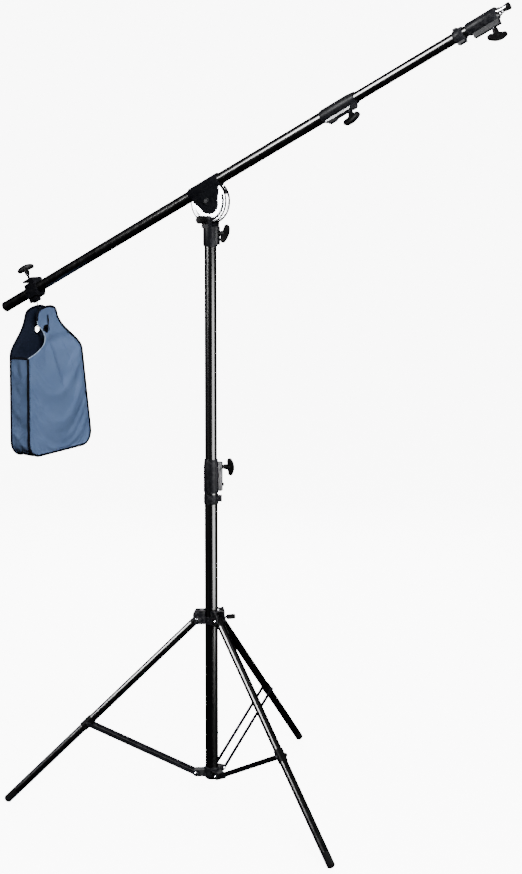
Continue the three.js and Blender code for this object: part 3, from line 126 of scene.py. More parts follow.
# The quadrant plate's dark colour is painted shade on its outer rim
QUADRANT_BRIGHT, QUADRANT_RIM_SHADE = (0.66, 0.67, 0.7), (0.0003, 0.0003, 0.0003)
FINE_RELIEF = 0.00004
WEAVE_RELIEF = 0.0004
WEAVE_WAVES = 300
LONGWAYS = (1, 1, 0.05)
NEARLY_MATT = 0.02
# Share of a colour kept in darker tones: random dull patches on metal, and painted shade in the cloth's
# weave gaps
DULL_TONE_AND_GAP_SHADE = 0.72


class Shader:
    """A Principled material with short names for the nodes that build it."""

    def __init__(self, name):
        self.material = bpy.data.materials.new(name)
        self.material.use_nodes = True
        self.tree = self.material.node_tree
        self.bsdf = self.tree.nodes["Principled BSDF"]
        self.place = self.node("ShaderNodeTexCoord").outputs["Object"]

    def node(self, kind, **values):
        made = self.tree.nodes.new(kind)
        for key, value in values.items():
            setattr(made, key, value)
        return made

    def link(self, source, target):
        self.tree.links.new(source, target)

    def set(self, **values):
        for key, value in values.items():
            self.bsdf.inputs[key.replace("_", " ")].default_value = value

    def noise(self, scale, detail, stretch=(1, 1, 1), source=None):
        mapping = self.node("ShaderNodeMapping")
        mapping.inputs["Scale"].default_value = stretch
        self.link(source or self.place, mapping.inputs["Vector"])
        noise = self.node("ShaderNodeTexNoise")
        noise.inputs["Scale"].default_value = scale
        noise.inputs["Detail"].default_value = detail
        self.link(mapping.outputs["Vector"], noise.inputs["Vector"])
        return noise.outputs["Fac"]

    def ramp(self, source, low, high, from_value=0.3, to_value=0.7):
        ramp = self.node("ShaderNodeMapRange")
        ramp.clamp = True
        ramp.inputs["From Min"].default_value = from_value
        ramp.inputs["From Max"].default_value = to_value
        ramp.inputs["To Min"].default_value = low
        ramp.inputs["To Max"].default_value = high
        self.link(source, ramp.inputs["Value"])
        return ramp.outputs["Result"]

    def mix(self, factor, first, second):
        mix = self.node("ShaderNodeMix", data_type="RGBA")
        self.link(factor, mix.inputs["Factor"])
        for value, socket in ((first, mix.inputs["A"]), (second, mix.inputs["B"])):
            if isinstance(value, tuple):
                socket.default_value = (*value, 1)
            else:
                self.link(value, socket)
        return mix.outputs["Result"]

    def add(self, first, second, gain):
        total = self.node("ShaderNodeMath", operation="MULTIPLY_ADD")
        self.link(second, total.inputs[0])
        total.inputs[1].default_value = gain
        self.link(first, total.inputs[2])
        return total.outputs["Value"]

    def times(self, first, second):
        product = self.node("ShaderNodeMath", operation="MULTIPLY")
        self.link(first, product.inputs[0])
        self.link(second, product.inputs[1])
        return product.outputs["Value"]

    def colour(self, source):
        self.link(source, self.bsdf.inputs["Base Color"])

    def roughness(self, source):
        self.link(source, self.bsdf.inputs["Roughness"])

    def bump(self, height, distance, strength):
        bump = self.node("ShaderNodeBump")
        bump.inputs["Distance"].default_value = distance
        bump.inputs["Strength"].default_value = strength
        self.link(height, bump.inputs["Height"])
        self.link(bump.outputs["Normal"], self.bsdf.inputs["Normal"])

    def edges(self):
        pointy = self.node("ShaderNodeNewGeometry").outputs["Pointiness"]
        return self.ramp(pointy, 0.0, 1.0, EDGE_FROM, EDGE_TO)


def gloss_tube():
    """Smooth black paint with faint scratches along the tube."""
    shader = Shader("black_tube")
    cloud = shader.noise(9, 4)
    scratch = shader.noise(60, 6, (1, 1, 0.06))
    shader.colour(shader.mix(shader.ramp(cloud, 0, 1), *TUBE_PAINT))
    shader.roughness(shader.ramp(scratch, 0.17, 0.27, 0.35, 0.75))
    shader.set(Specular_IOR_Level=0.5)
    shader.bump(shader.noise(700, 2), TUBE_RELIEF, 0.25)
    return shader.material


def satin_casting(name="black_casting", worn=BARE_EDGE, gloss=0.04):
    """Fine-grained black casting, rubbed lighter along its edges."""
    shader = Shader(name)
    grain = shader.noise(1300, 3)
    cloud = shader.noise(40, 4)
    base = shader.mix(shader.ramp(cloud, 0, 1), *CASTING_PAINT)
    rubbed = shader.times(shader.edges(), shader.ramp(shader.noise(120, 4), 0, 1, 0.45, 0.6))
    shader.colour(shader.mix(rubbed, base, worn))
    shader.roughness(shader.ramp(grain, 0.33, 0.42))
    shader.set(Specular_IOR_Level=gloss)
    shader.bump(shader.add(grain, cloud, 0.6), CASTING_RELIEF, 0.4)
    return shader.material


def moulded_plastic(name="black_plastic", tone=0.0035, rough=(0.3, 0.4)):
    shader = Shader(name)
    grain = shader.noise(2200, 2)
    cloud = shader.noise(60, 3)
    dark = (tone, tone, tone * 1.1)
    light = (tone * 1.7, tone * 1.7, tone * 1.8)
    shader.colour(shader.mix(shader.ramp(cloud, 0, 1), dark, light))
    shader.roughness(shader.ramp(grain, *rough))
    shader.set(Specular_IOR_Level=NEARLY_MATT)
    shader.bump(grain, FINE_RELIEF, 0.4)
    return shader.material


def bright_metal(name, stretch, rough, tint=(0.72, 0.73, 0.75)):
    """Brushed metal; stretch draws the brush marks out along an axis."""
    shader = Shader(name)
    brush = shader.noise(900, 4, stretch)
    cloud = shader.noise(35, 4)
    dull = tuple(DULL_TONE_AND_GAP_SHADE * channel for channel in tint)
    shader.colour(shader.mix(shader.ramp(cloud, 0, 1, 0.35, 0.8), tint, dull))
    shader.roughness(shader.ramp(brush, *rough))
    shader.set(Metallic=1.0)
    shader.bump(brush, FINE_RELIEF, 0.4)
    return shader.material


def quadrant_plate():
    """Bright sheet with its outer rim painted near-black as shade over the plate's edge."""
    shader = Shader("quadrant_plate")
    level = shader.node("ShaderNodeVectorMath", operation="MULTIPLY_ADD")
    level.inputs[1].default_value = (1, 0, 1)
    level.inputs[2].default_value = (-COLUMN.x, 0, -PIVOT_HEIGHT)
    shader.link(shader.place, level.inputs[0])
    reach = shader.node("ShaderNodeVectorMath", operation="LENGTH")
    shader.link(level.outputs["Vector"], reach.inputs[0])
    # rim masks the painted shade over the plate's outer edge
    rim = shader.ramp(reach.outputs["Value"], 0.0, 1.0, QUADRANT_RIM - RIM_BLUR, QUADRANT_RIM + RIM_BLUR)
    brush = shader.noise(900, 4, LONGWAYS)
    shader.colour(shader.mix(rim, QUADRANT_BRIGHT, QUADRANT_RIM_SHADE))
    shader.roughness(shader.ramp(brush, 0.26, 0.4))
    shader.set(Metallic=1.0)
    shader.bump(brush, FINE_RELIEF, 0.4)
    return shader.material


def woven_cloth(name, colour, shade):
    """A plain weave drawn from the cloth's own flat coordinates, which are in metres."""
    shader = Shader(name)
    flat = shader.node("ShaderNodeUVMap", uv_map="flat").outputs["UV"]
    threads = []
    for direction in ("X", "Y"):
        wave = shader.node("ShaderNodeTexWave", bands_direction=direction)
        wave.inputs["Scale"].default_value = WEAVE_WAVES
        wave.inputs["Distortion"].default_value = 0.35
        wave.inputs["Detail Scale"].default_value = 90
        shader.link(flat, wave.inputs["Vector"])
        threads.append(wave.outputs["Fac"])
    weave = shader.times(*threads)
    cloud = shader.noise(13, 4)
    slub = shader.noise(220, 3, (1, 6, 1), flat)
    tone = shader.ramp(shader.add(cloud, slub, 0.35), 0, 1, 0.45, 0.85)
    body = shader.mix(tone, shade, colour)
    # deep is painted shade, darkening the gaps between the threads
    deep = tuple(DULL_TONE_AND_GAP_SHADE * channel for channel in shade)
    shader.colour(shader.mix(shader.ramp(weave, 0.35, 0, 0.0, 0.35), body, deep))
    shader.roughness(shader.ramp(slub, 0.62, 0.82))
    shader.set(Specular_IOR_Level=NEARLY_MATT)
    shader.bump(shader.add(weave, cloud, 1.4), WEAVE_RELIEF, 0.55)
    return shader.material


MATERIAL = {
    "black_tube": gloss_tube(),
    "black_casting": satin_casting(),
    "black_strip": satin_casting("black_strip", (0.035, 0.035, 0.04)),
    "bright_plate": bright_metal("bright_plate", LONGWAYS, (0.22, 0.4)),
    "bright_pin": bright_metal("bright_pin", (1, 1, 1), (0.12, 0.24), (0.8, 0.81, 0.83)),
    "quadrant_plate": quadrant_plate(),
    "matte_casting": satin_casting("matte_casting", (0.012, 0.012, 0.014), 0.0),
    "black_plastic": moulded_plastic(),
    "black_rubber": moulded_plastic("black_rubber", 0.005, (0.7, 0.85)),
    "blue_cloth": woven_cloth("blue_cloth", (0.122, 0.183, 0.335), (0.098, 0.152, 0.285)),
    "navy_lining": woven_cloth("navy_lining", (0.014, 0.019, 0.036), (0.009, 0.012, 0.023)),
    # The hem's pale blue is a painted highlight along the front's free edge
    "hem_painted_highlight": woven_cloth("hem_painted_highlight", (0.42, 0.52, 0.66), (0.32, 0.42, 0.56)),
    "black_enamel": satin_casting("black_enamel"),
    "dark_steel": bright_metal("dark_steel", (1, 1, 1), (0.25, 0.4), (0.03, 0.03, 0.033)),
    "black_binding": woven_cloth("black_binding", (0.0028, 0.0042, 0.009), (0.002, 0.0028, 0.006)),
}


WELD_REACH = 1e-6


def smooth_group(angle=32):
    """A modifier's node group that shades smooth across edges under the angle, in degrees."""
    group = bpy.data.node_groups.new("smooth_by_angle", "GeometryNodeTree")
    group.interface.new_socket("Geometry", in_out="INPUT", socket_type="NodeSocketGeometry")
    group.interface.new_socket("Geometry", in_out="OUTPUT", socket_type="NodeSocketGeometry")
    source, target = group.nodes.new("NodeGroupInput"), group.nodes.new("NodeGroupOutput")
    edge = group.nodes.new("GeometryNodeInputMeshEdgeAngle")
    steep = group.nodes.new("FunctionNodeCompare")
    steep.data_type = "FLOAT"
    steep.operation = "GREATER_THAN"
    steep.inputs["B"].default_value = math.radians(angle)
    faces = group.nodes.new("GeometryNodeSetShadeSmooth")
    faces.domain = "FACE"
    edges = group.nodes.new("GeometryNodeSetShadeSmooth")
    edges.domain = "EDGE"
    edges.inputs["Shade Smooth"].default_value = False
    group.links.new(source.outputs[0], faces.inputs["Geometry"])
    group.links.new(edge.outputs["Unsigned Angle"], steep.inputs["A"])
    group.links.new(faces.outputs["Geometry"], edges.inputs["Geometry"])
    group.links.new(steep.outputs["Result"], edges.inputs["Selection"])
    group.links.new(edges.outputs["Geometry"], target.inputs[0])
    return group


# Nodes that are painted otherwise than their material slot says
LOOKS = {
    "quadrant_near": "quadrant_plate",
    "quadrant_far": "quadrant_plate",
    "boom_sleeve": "matte_casting",
    "tail_clamp_body": "matte_casting",
    "bag_hook": "matte_casting",
    "hook_pin": "matte_casting",
    "sandbag": "blue_cloth",
}


def paint_cad_nodes():
    slots = {s["node"]: s["material_slot"] for s in frame["record"]["subparts"]}
    group = smooth_group()
    for name, obj in NODES.items():
        obj.data.materials.clear()
        obj.data.materials.append(MATERIAL[LOOKS.get(name, slots[name])])
        obj.modifiers.new("weld", "WELD").merge_threshold = WELD_REACH
        obj.modifiers.new("smooth", "NODES").node_group = group


paint_cad_nodes()


# Mesh helpers


def link_mesh(name, mesh, body, slot, *materials):
    obj = bpy.data.objects.new(name, mesh)
    bpy.context.scene.collection.objects.link(obj)
    for material in materials:
        mesh.materials.append(MATERIAL[material])
    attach(obj, body)
    return obj


def shade_smooth(mesh):
    mesh.polygons.foreach_set("use_smooth", [True] * len(mesh.polygons))


def mesh_from(name, bm, matrix, sharp=38):
    """A mesh in the scene's frame; edges steeper than sharp, in degrees, stay sharp."""
    bm.transform(matrix)
    bmesh.ops.recalc_face_normals(bm, faces=bm.faces)
    mesh = bpy.data.meshes.new(name)
    bm.to_mesh(mesh)
    bm.free()
    shade_smooth(mesh)
    mesh.set_sharp_from_angle(angle=math.radians(sharp))
    return mesh


def add_lathe(bm, profile, sides):
    """Turns (radius, height) points in mm about +Z; radius 0 closes an end."""
    circle = [(math.cos(TURN * i / sides), math.sin(TURN * i / sides)) for i in range(sides)]
    rings = []
    for radius, height in profile:
        if radius == 0:
            rings.append([bm.verts.new((0, 0, height * MM))])
            continue
        rings.append([bm.verts.new((radius * MM * x, radius * MM * y, height * MM)) for x, y in circle])
    for low, high in zip(rings, rings[1:]):
        for i in range(sides):
            j = (i + 1) % sides
            if len(low) == 1:
                bm.faces.new((low[0], high[j], high[i]))
            elif len(high) == 1:
                bm.faces.new((low[i], low[j], high[0]))
            else:
                bm.faces.new((low[i], low[j], high[j], high[i]))


def rounded(points, radius, steps=4, most=0.45):
    """A lathe profile with its inner corners rounded, by at most that share of a side."""
    made = [points[0]]
    for before, here, after in zip(points, points[1:], points[2:]):
        a, p, b = Vector(before), Vector(here), Vector(after)
        reach = min(radius, (a - p).length * most, (b - p).length * most)
        start = p + (a - p).normalized() * reach
        end = p + (b - p).normalized() * reach
        for i in range(steps + 1):
            t = i / steps
            made.append(tuple(start.lerp(p, t).lerp(p.lerp(end, t), t)))
    made.append(points[-1])
    return made


# Wing screws, in mm: threaded stem, tapered hub and a crescent wing

WING = dict(
    stem=3.6, foot=6.5, hub=8.5, length=19,
    half=26, thick=11, drop=3, tip=8, wrist=11, wrist_half=9, crown=29, crown_half=12,
    cap=1.2, cap_share=0.8, hub_round=1.5,
    washer=1.8, washer_foot=-2.6, washer_top=0.2, washer_round=0.5,
)
# Across the wing from a face: depth below the face and how far the outline draws in there
WING_EDGE = ((0.0, 1.6), (0.5, 0.7), (1.4, 0.15))
WING_FLAT = 0.3
HUB_SIDES, STEM_SIDES, WASHER_SIDES = 40, 24, 32


def bezier(points, steps):
    made = []
    for i in range(1, steps + 1):
        t = i / steps
        layer = [Vector(p) for p in points]
        while len(layer) > 1:
            layer = [a.lerp(b, t) for a, b in zip(layer, layer[1:])]
        made.append(tuple(layer[0]))
    return made


def wing_outline():
    w = WING
    tip_foot = w["length"] - w["drop"] - w["tip"] / 2
    tip_top = tip_foot + w["tip"]
    wrist = w["wrist"]
    right = [(w["wrist_half"], wrist)]
    right += bezier([right[-1], (w["wrist_half"], tip_foot), (w["half"] - w["tip"] / 2, tip_foot)], 8)
    right += bezier([right[-1], (w["half"], tip_foot), (w["half"], tip_top)], 8)
    right += bezier([right[-1], (w["half"], tip_top + w["tip"] / 2), (w["crown_half"], w["crown"]),
                     (0, w["crown"])], 14)
    left = [(-x, z) for x, z in reversed(right[:-1])]
    return right + left


def add_wing(bm):
    outline = wing_outline()
    half = WING["thick"] / 2
    near = [(-half + depth, inset) for depth, inset in WING_EDGE] + [(-half * WING_FLAT, 0.0)]
    sections = near + [(-y, inset) for y, inset in reversed(near)]
    centre = Vector((0, WING["length"] * 0.75))
    rings = []
    for y, inset in sections:
        ring = []
        for x, z in outline:
            point = Vector((x, z))
            inward = (centre - point).normalized() * inset
            ring.append(bm.verts.new(((x + inward.x) * MM, y * MM, (z + inward.y) * MM)))
        rings.append(ring)
    count = len(outline)
    for low, high in zip(rings, rings[1:]):
        for i in range(count):
            j = (i + 1) % count
            bm.faces.new((low[i], low[j], high[j], high[i]))
    bm.faces.new(list(reversed(rings[0])))
    bm.faces.new(rings[-1])


def thread_profile(radius, start, end, pitch=1.25, depth=0.35):
    points = []
    height = start
    while height < end:
        points += [(radius, height), (radius - depth, height + pitch / 2)]
        height += pitch
    return points + [(radius, end)]


def wing_screw(name, body, node, matrix, stem_depth, reach=3.0):
    """reach is how far the grip's foot stands off the face that the stem goes into."""
    w = WING
    matrix = matrix @ shift(z=reach)
    bm = bmesh.new()
    top = w["length"]
    roof = top + w["cap"]
    hub = [(0, 0), (w["foot"], 0), (w["hub"], top), (w["hub"] * w["cap_share"], roof), (0, roof)]
    add_lathe(bm, rounded(hub, w["hub_round"]), HUB_SIDES)
    add_wing(bm)
    grip = mesh_from(name + "_grip", bm, matrix, 50)
    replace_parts(link_mesh(name + "_grip", grip, body, "black_plastic", "black_plastic"), node)
    bm = bmesh.new()
    foot = -stem_depth - reach
    add_lathe(bm, [(0, foot)] + thread_profile(w["stem"], foot, 0) + [(0, 0)], STEM_SIDES)
    rim, low, high = w["stem"] + w["washer"], w["washer_foot"], w["washer_top"]
    washer = [(0, low), (rim, low), (rim, high), (0, high)]
    add_lathe(bm, rounded(washer, w["washer_round"]), WASHER_SIDES)
    link_mesh(name + "_stem", mesh_from(name + "_stem", bm, matrix), body, "black_casting", "dark_steel")


# Places of the screws, in mm and degrees as in the CAD: heights up the column, places along the boom, and
# seats, which are the faces that the stems go into, as measured from the tube's axis
BOSS_INSET, BOSS_SHARE = 6, 0.83
MAST_CLAMP = dict(foot=851, length=91, seat=30.5, bearing=26, turn=28, depth=14)
HEAD_SCREW = dict(height=1538, seat=25.5, bearing=6, turn=-33, depth=9, reach=0.5)
BOOM_CLAMP = dict(place=400, length=104, seat=25.4, lean=-20, turn=10, depth=12, reach=6)
TIP_SCREW = dict(place=895, seat=-26, turn=120, depth=17.5)
TAIL_SCREW = dict(place=-684, seat=31.6, turn=17, depth=16, reach=18)
BOOM_LINE = BOOM_FRAME @ Matrix.Translation((0, 0, BOOM_OFFSET))


def boss_height(foot, length):
    return foot + BOSS_INSET + (length - 2 * BOSS_INSET) * BOSS_SHARE


def make_screws():
    at = MAST_CLAMP
    place = BASE_FRAME @ spin_z(at["bearing"])
    place = place @ shift(at["seat"], 0, boss_height(at["foot"], at["length"])) @ QUARTER_Y
    wing_screw("mast_clamp_wing", "mast_lock", "mast_clamp_knob", place @ spin_z(at["turn"]), at["depth"])
    at = HEAD_SCREW
    place = BASE_FRAME @ spin_z(at["bearing"]) @ shift(at["seat"], 0, at["height"]) @ QUARTER_Y
    wing_screw("head_wing", "head_lock", "head_knob", place @ spin_z(at["turn"]), at["depth"], at["reach"])
    at = BOOM_CLAMP
    lean = Matrix.Rotation(math.radians(at["lean"]), 4, "X")
    place = BOOM_LINE @ shift(at["place"]) @ lean @ QUARTER_Y
    place = place @ shift(at["seat"], 0, boss_height(0, at["length"])) @ QUARTER_Y
    wing_screw("boom_clamp_wing", "boom_lock", "boom_clamp_knob",
               place @ spin_z(at["turn"]), at["depth"], at["reach"])
    at = TIP_SCREW
    place = BOOM_LINE @ shift(at["place"], 0, at["seat"]) @ HALF_X
    wing_screw("tip_wing", "tip_lock", "tip_knob", place @ spin_z(at["turn"]), at["depth"])
    at = TAIL_SCREW
    place = BOOM_LINE @ shift(at["place"], 0, at["seat"])
    wing_screw("tail_wing", "weight_lock", "tail_knob",
               place @ spin_z(at["turn"]), at["depth"], at["reach"])


make_screws()


# Sandbag, in mm about the middle of the hook's bar: X is its thickness, Y its width and Z its height

# The hook's pin lies along the boom from its pivot and below its axis, and the bar is placed from the pin
PIN_PLACE, PIN_DROP = -680 * MM, 27.5 * MM
BAR_FROM_PIN = (10, 10, -79)
HOOK_EYE = BOOM_FRAME @ Vector((PIN_PLACE, 0, BOOM_OFFSET - PIN_DROP))
BAG_LEAN = math.radians(3.5)
BAG_FRAME = Matrix.Translation(HOOK_EYE) @ shift(*BAR_FROM_PIN) @ Matrix.Rotation(BAG_LEAN, 4, "X")
BAG = dict(
    depth=35, centre=10.5, top_half=113, bottom_half=134, bottom=-362, gusset=-80, corner=44,
    tongue=58, round_from=20, front_off=15, back_off=23, top_off=19.5,
    eyelet=(9, 10), eyelet_height=-8.1, bulge=8, inset=1.2,
)
# By panel, 1 for the front and -1 for the back, and by edge, 1 for +Y and -1 for -Y: half the tongue's
# width and the height below which the panel widens; the free edge also draws in to a waist
EDGE = {
    (1, 1): dict(tongue=33, start=44),
    (-1, 1): dict(tongue=33, start=44),
    (-1, -1): dict(tongue=56, start=42),
    (1, -1): dict(tongue=47, start=18, waist=23, waist_height=-22, fall=2.2),
}
PANELS = (("front", 1), ("back", -1))
BAG_COLUMNS = 60
BODY_ROWS, SHOULDER_ROWS, CORNER_ROWS, CROWN_ROWS = 32, 16, 10, 12
CROWN_SHARE = 0.995


def eased(share):
    return (1 - math.cos(share * math.pi)) / 2


def bag_side(height):
    b = BAG
    share = (height - b["bottom"]) / (b["gusset"] - b["bottom"])
    side = b["bottom_half"] + (b["top_half"] - b["bottom_half"]) * share
    missing = b["corner"] - (height - b["bottom"])
    if missing <= 0:
        return side
    return side - b["corner"] + math.sqrt(max(0.0, b["corner"] ** 2 - missing ** 2))


def bag_edge(height, edge):
    """Half width of a panel on one of its edges; the front's free edge draws in to a waist."""
    b = BAG
    if height <= b["gusset"]:
        return bag_side(height)
    top = max(0.0, (height - b["round_from"]) / (b["tongue"] - b["round_from"]))
    rounding = math.sqrt(max(0.0, 1 - top ** 4))
    wide = bag_side(b["gusset"])
    if height >= edge["start"]:
        return edge["tongue"] * rounding
    waist = edge.get("waist")
    if waist and height >= edge["waist_height"]:
        share = (edge["start"] - height) / (edge["start"] - edge["waist_height"])
        return (edge["tongue"] + (waist - edge["tongue"]) * eased(share)) * rounding
    if waist:
        share = (edge["waist_height"] - height) / (edge["waist_height"] - b["gusset"])
        return waist + (wide - waist) * share ** edge["fall"]
    share = (edge["start"] - height) / (edge["start"] - b["gusset"])
    return (edge["tongue"] + (wide - edge["tongue"]) * eased(share)) * rounding


def bag_depth(height, share, side):
    """Distance of a panel from the bag's middle plane."""
    b = BAG
    belly = b["bulge"] * (1 - share * share)
    if height <= b["gusset"]:
        up = (height - b["bottom"]) / (b["gusset"] - b["bottom"])
        return b["depth"] + belly * math.sin(up * math.pi) - b["inset"]
    offset = b["front_off"] if side > 0 else b["back_off"]
    if height <= 0:
        up = (height - b["gusset"]) / -b["gusset"]
        return b["depth"] + (offset - b["depth"]) * eased(up) - b["inset"]
    return offset + (b["top_off"] - offset) * (height / b["tongue"]) ** 2 - b["inset"]


def bag_heights():
    """Heights of the grid's rows: the rounded corners, the body, the shoulder and the rounded crown."""
    b = BAG
    corner_top = b["bottom"] + b["corner"]
    made = []
    for i in range(CORNER_ROWS):
        made.append(b["bottom"] + b["corner"] * (1 - math.cos(math.pi / 2 * i / CORNER_ROWS)))
    for low, high, steps in (
        (corner_top, b["gusset"], BODY_ROWS),
        (b["gusset"], b["round_from"], SHOULDER_ROWS),
    ):
        made += [low + (high - low) * i / steps for i in range(steps)]
    crown = b["tongue"] - b["round_from"]
    for i in range(CROWN_ROWS + 1):
        made.append(b["round_from"] + crown * CROWN_SHARE * math.sin(math.pi / 2 * i / CROWN_ROWS))
    return made


def bag_grid(side):
    """Rows of points of one panel, from the bottom up, each from -Y to +Y."""
    rows = []
    for height in bag_heights():
        row = []
        for column in range(BAG_COLUMNS + 1):
            share = 2 * column / BAG_COLUMNS - 1
            half = bag_edge(height, EDGE[(side, 1 if share > 0 else -1)])
            row.append((side * bag_depth(height, share, side), share * half + BAG["centre"], height))
        rows.append(row)
    return rows


GUSSET_ROW = bag_heights().index(BAG["gusset"])
GUSSET_STEPS = 10


def bag_rim():
    """Grid places on a panel's rim that the gusset joins: down the -Y side, along the bottom and up."""
    down = [(row, 0) for row in range(GUSSET_ROW, 0, -1)]
    along = [(0, column) for column in range(BAG_COLUMNS + 1)]
    return down + along + [(row, BAG_COLUMNS) for row in range(1, GUSSET_ROW + 1)]


def bag_shell():
    """One mesh of both panels and the gusset, with the places of each part's points in it."""
    points, faces, parts = [], [], {}
    for word, side in PANELS:
        grid = bag_grid(side)
        places = [[0] * len(row) for row in grid]
        for i, row in enumerate(grid):
            for j, point in enumerate(row):
                places[i][j] = len(points)
                points.append(point)
        parts[word] = places
        for low, high in zip(places, places[1:]):
            for j in range(BAG_COLUMNS):
                face = (low[j], low[j + 1], high[j + 1], high[j])
                faces.append(face if side > 0 else face[::-1])
    strip = []
    for row, column in bag_rim():
        front, back = parts["front"][row][column], parts["back"][row][column]
        line = [front]
        for step in range(1, GUSSET_STEPS):
            line.append(len(points))
            points.append(tuple(Vector(points[front]).lerp(Vector(points[back]), step / GUSSET_STEPS)))
        strip.append(line + [back])
    for first, second in zip(strip, strip[1:]):
        for j in range(GUSSET_STEPS):
            faces.append((first[j], first[j + 1], second[j + 1], second[j]))
    parts["gusset"] = strip
    return points, faces, parts


def rim_places(places):
    top, last = len(places) - 1, len(places[0]) - 1
    rim = {places[i][j] for i in range(top + 1) for j in (0, last)}
    return rim | set(places[0]) | set(places[top])


SETTLE_FRAMES = 22


def settle_cloth(points, faces, pinned):
    """Lets the cloth hang and belly out between its pinned seams; returns the moved points in mm."""
    scene = bpy.context.scene
    mesh = bpy.data.meshes.new("settling")
    mesh.from_pydata([tuple(BAG_FRAME @ (Vector(p) * MM)) for p in points], [], faces)
    obj = bpy.data.objects.new("settling", mesh)
    scene.collection.objects.link(obj)
    obj.vertex_groups.new(name="pin").add(sorted(pinned), 1.0, "REPLACE")
    cloth = obj.modifiers.new("cloth", "CLOTH")
    settings = cloth.settings
    settings.quality = 7
    settings.mass = 0.2
    settings.tension_stiffness = 30
    settings.compression_stiffness = 30
    settings.shear_stiffness = 15
    settings.bending_stiffness = 0.8
    settings.air_damping = 3
    settings.vertex_group_mass = "pin"
    settings.shrink_min = -0.018
    settings.use_pressure = True
    settings.uniform_pressure_force = 0.35
    cloth.collision_settings.use_collision = False
    cloth.point_cache.frame_start = 1
    cloth.point_cache.frame_end = SETTLE_FRAMES
    for step in range(1, SETTLE_FRAMES + 1):
        scene.frame_set(step)
    settled = obj.evaluated_get(bpy.context.evaluated_depsgraph_get()).to_mesh()
    back = BAG_FRAME.inverted()
    moved = [(back @ v.co) / MM for v in settled.vertices]
    bpy.data.objects.remove(obj)
    scene.frame_set(1)
    return moved


# Creases of the front panel, in mm: start, end, how fast the cloth falls away on the right of the line,
# how far it takes to come back, and the depth
CREASES = [
    ((1, -44), (33, -186), 20, 124, 12.5),
    ((62, -56), (94, -150), 9, 34, 3.2),
    ((-66, -96), (-28, -126), 6, 24, 2.6),
    ((-92, -300), (-46, -332), 6, 26, 2.2),
    ((38, -306), (98, -268), 8, 34, 2.4),
    ((-84, -250), (-38, -196), 8, 36, 1.8),
]
# Shares of a crease's length: where it begins and ends, and over how much it deepens and fades out
CREASE_FROM, CREASE_TO, CREASE_RISE, CREASE_FADE = -0.2, 1.25, 0.3, 0.45
# A crease's fall is this share of its width at the start, and opens by as much again along it
CREASE_OPENING = 0.6
# How far the cloth may settle, and the height above which a tongue is held still, in mm
SETTLE_LIMIT = 5.5
PINNED_ABOVE = -30


def crease_depth(y, z):
    depth = 0.0
    for start, end, fall, back, deep in CREASES:
        a, b = Vector(start), Vector(end)
        along = b - a
        away = Vector((y, z)) - a
        share = away.dot(along) / along.length_squared
        if not CREASE_FROM < share < CREASE_TO:
            continue
        off = (away.y * along.x - away.x * along.y) / along.length
        if along.y > 0:
            off = -off
        if not 0 < off < back:
            continue
        width = fall * (CREASE_OPENING + CREASE_OPENING * max(0.0, share))
        form = (1 - math.exp(-off / width)) * (1 - eased(off / back))
        fade = eased(min(1.0, (share - CREASE_FROM) / CREASE_RISE))
        fade *= eased(min(1.0, (CREASE_TO - share) / CREASE_FADE))
        depth += deep * fade * form
    return depth


def shape_bag():
    """The settled and creased points in mm, and the places of each part's points among them."""
    points, faces, parts = bag_shell()
    seams = rim_places(parts["front"]) | rim_places(parts["back"])
    seams |= set(parts["gusset"][0]) | set(parts["gusset"][-1])
    panels = {k for word, _ in PANELS for row in parts[word] for k in row}
    tongue = {k for k in panels if points[k][2] > PINNED_ABOVE}
    moved = [Vector(p) for p in points]
    for k, place in enumerate(settle_cloth(points, faces, seams | tongue)):
        step = place - Vector(points[k])
        moved[k] = Vector(points[k]) + step * min(1.0, SETTLE_LIMIT / max(step.length, 1e-6))
    front = {k for row in parts["front"] for k in row} - seams
    for k in front:
        moved[k].x -= crease_depth(points[k][1], points[k][2])
    return moved, parts


def flat_places(rows):
    """Flat (across, along) coordinates in metres for every point of the rows."""
    places = []
    along = 0.0
    for i, row in enumerate(rows):
        if i:
            middle = len(row) // 2
            along += (row[middle] - rows[i - 1][middle]).length
        runs = [0.0]
        for before, here in zip(row, row[1:]):
            runs.append(runs[-1] + (here - before).length)
        places.append([((run - runs[-1] / 2) * MM, along * MM) for run in runs])
    return places


CLOTH_THICKNESS = 1.3 * MM


def cloth_piece(name, rows, eyelet=None, turn=False):
    """A cloth panel from rows of points in mm, with a lined inside and an oval hole where asked.

    Gives the object and its flat area; turn faces it the other way.
    """
    bm = bmesh.new()
    flat = bm.loops.layers.uv.new("flat")
    grid, place = [], {}
    for row, places in zip(rows, flat_places(rows)):
        line = [bm.verts.new(point * MM) for point in row]
        place.update(zip(line, places))
        grid.append(line)
    for low, high in zip(grid, grid[1:]):
        for j in range(len(low) - 1):
            corners = (low[j], low[j + 1], high[j + 1], high[j])
            bm.faces.new(corners[::-1] if turn else corners)
    for face in bm.faces:
        for loop in face.loops:
            loop[flat].uv = place[loop.vert]
    if eyelet:
        cut_eyelet(bm, eyelet)
    area = sum(face.calc_area() for face in bm.faces)
    bm.transform(BAG_FRAME)
    mesh = bpy.data.meshes.new(name)
    bm.to_mesh(mesh)
    bm.free()
    shade_smooth(mesh)
    obj = link_mesh(name, mesh, "bag", "blue_fabric", "blue_cloth", "navy_lining")
    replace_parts(obj, "sandbag")
    finer = obj.modifiers.new("finer", "SUBSURF")
    finer.levels = finer.render_levels = 1
    thick = obj.modifiers.new("thick", "SOLIDIFY")
    thick.thickness = CLOTH_THICKNESS
    thick.offset = -1
    thick.material_offset = 1
    return obj, area


# Faces whose middle lies within this share of the oval are cut away
EYELET_SHARE = 0.97


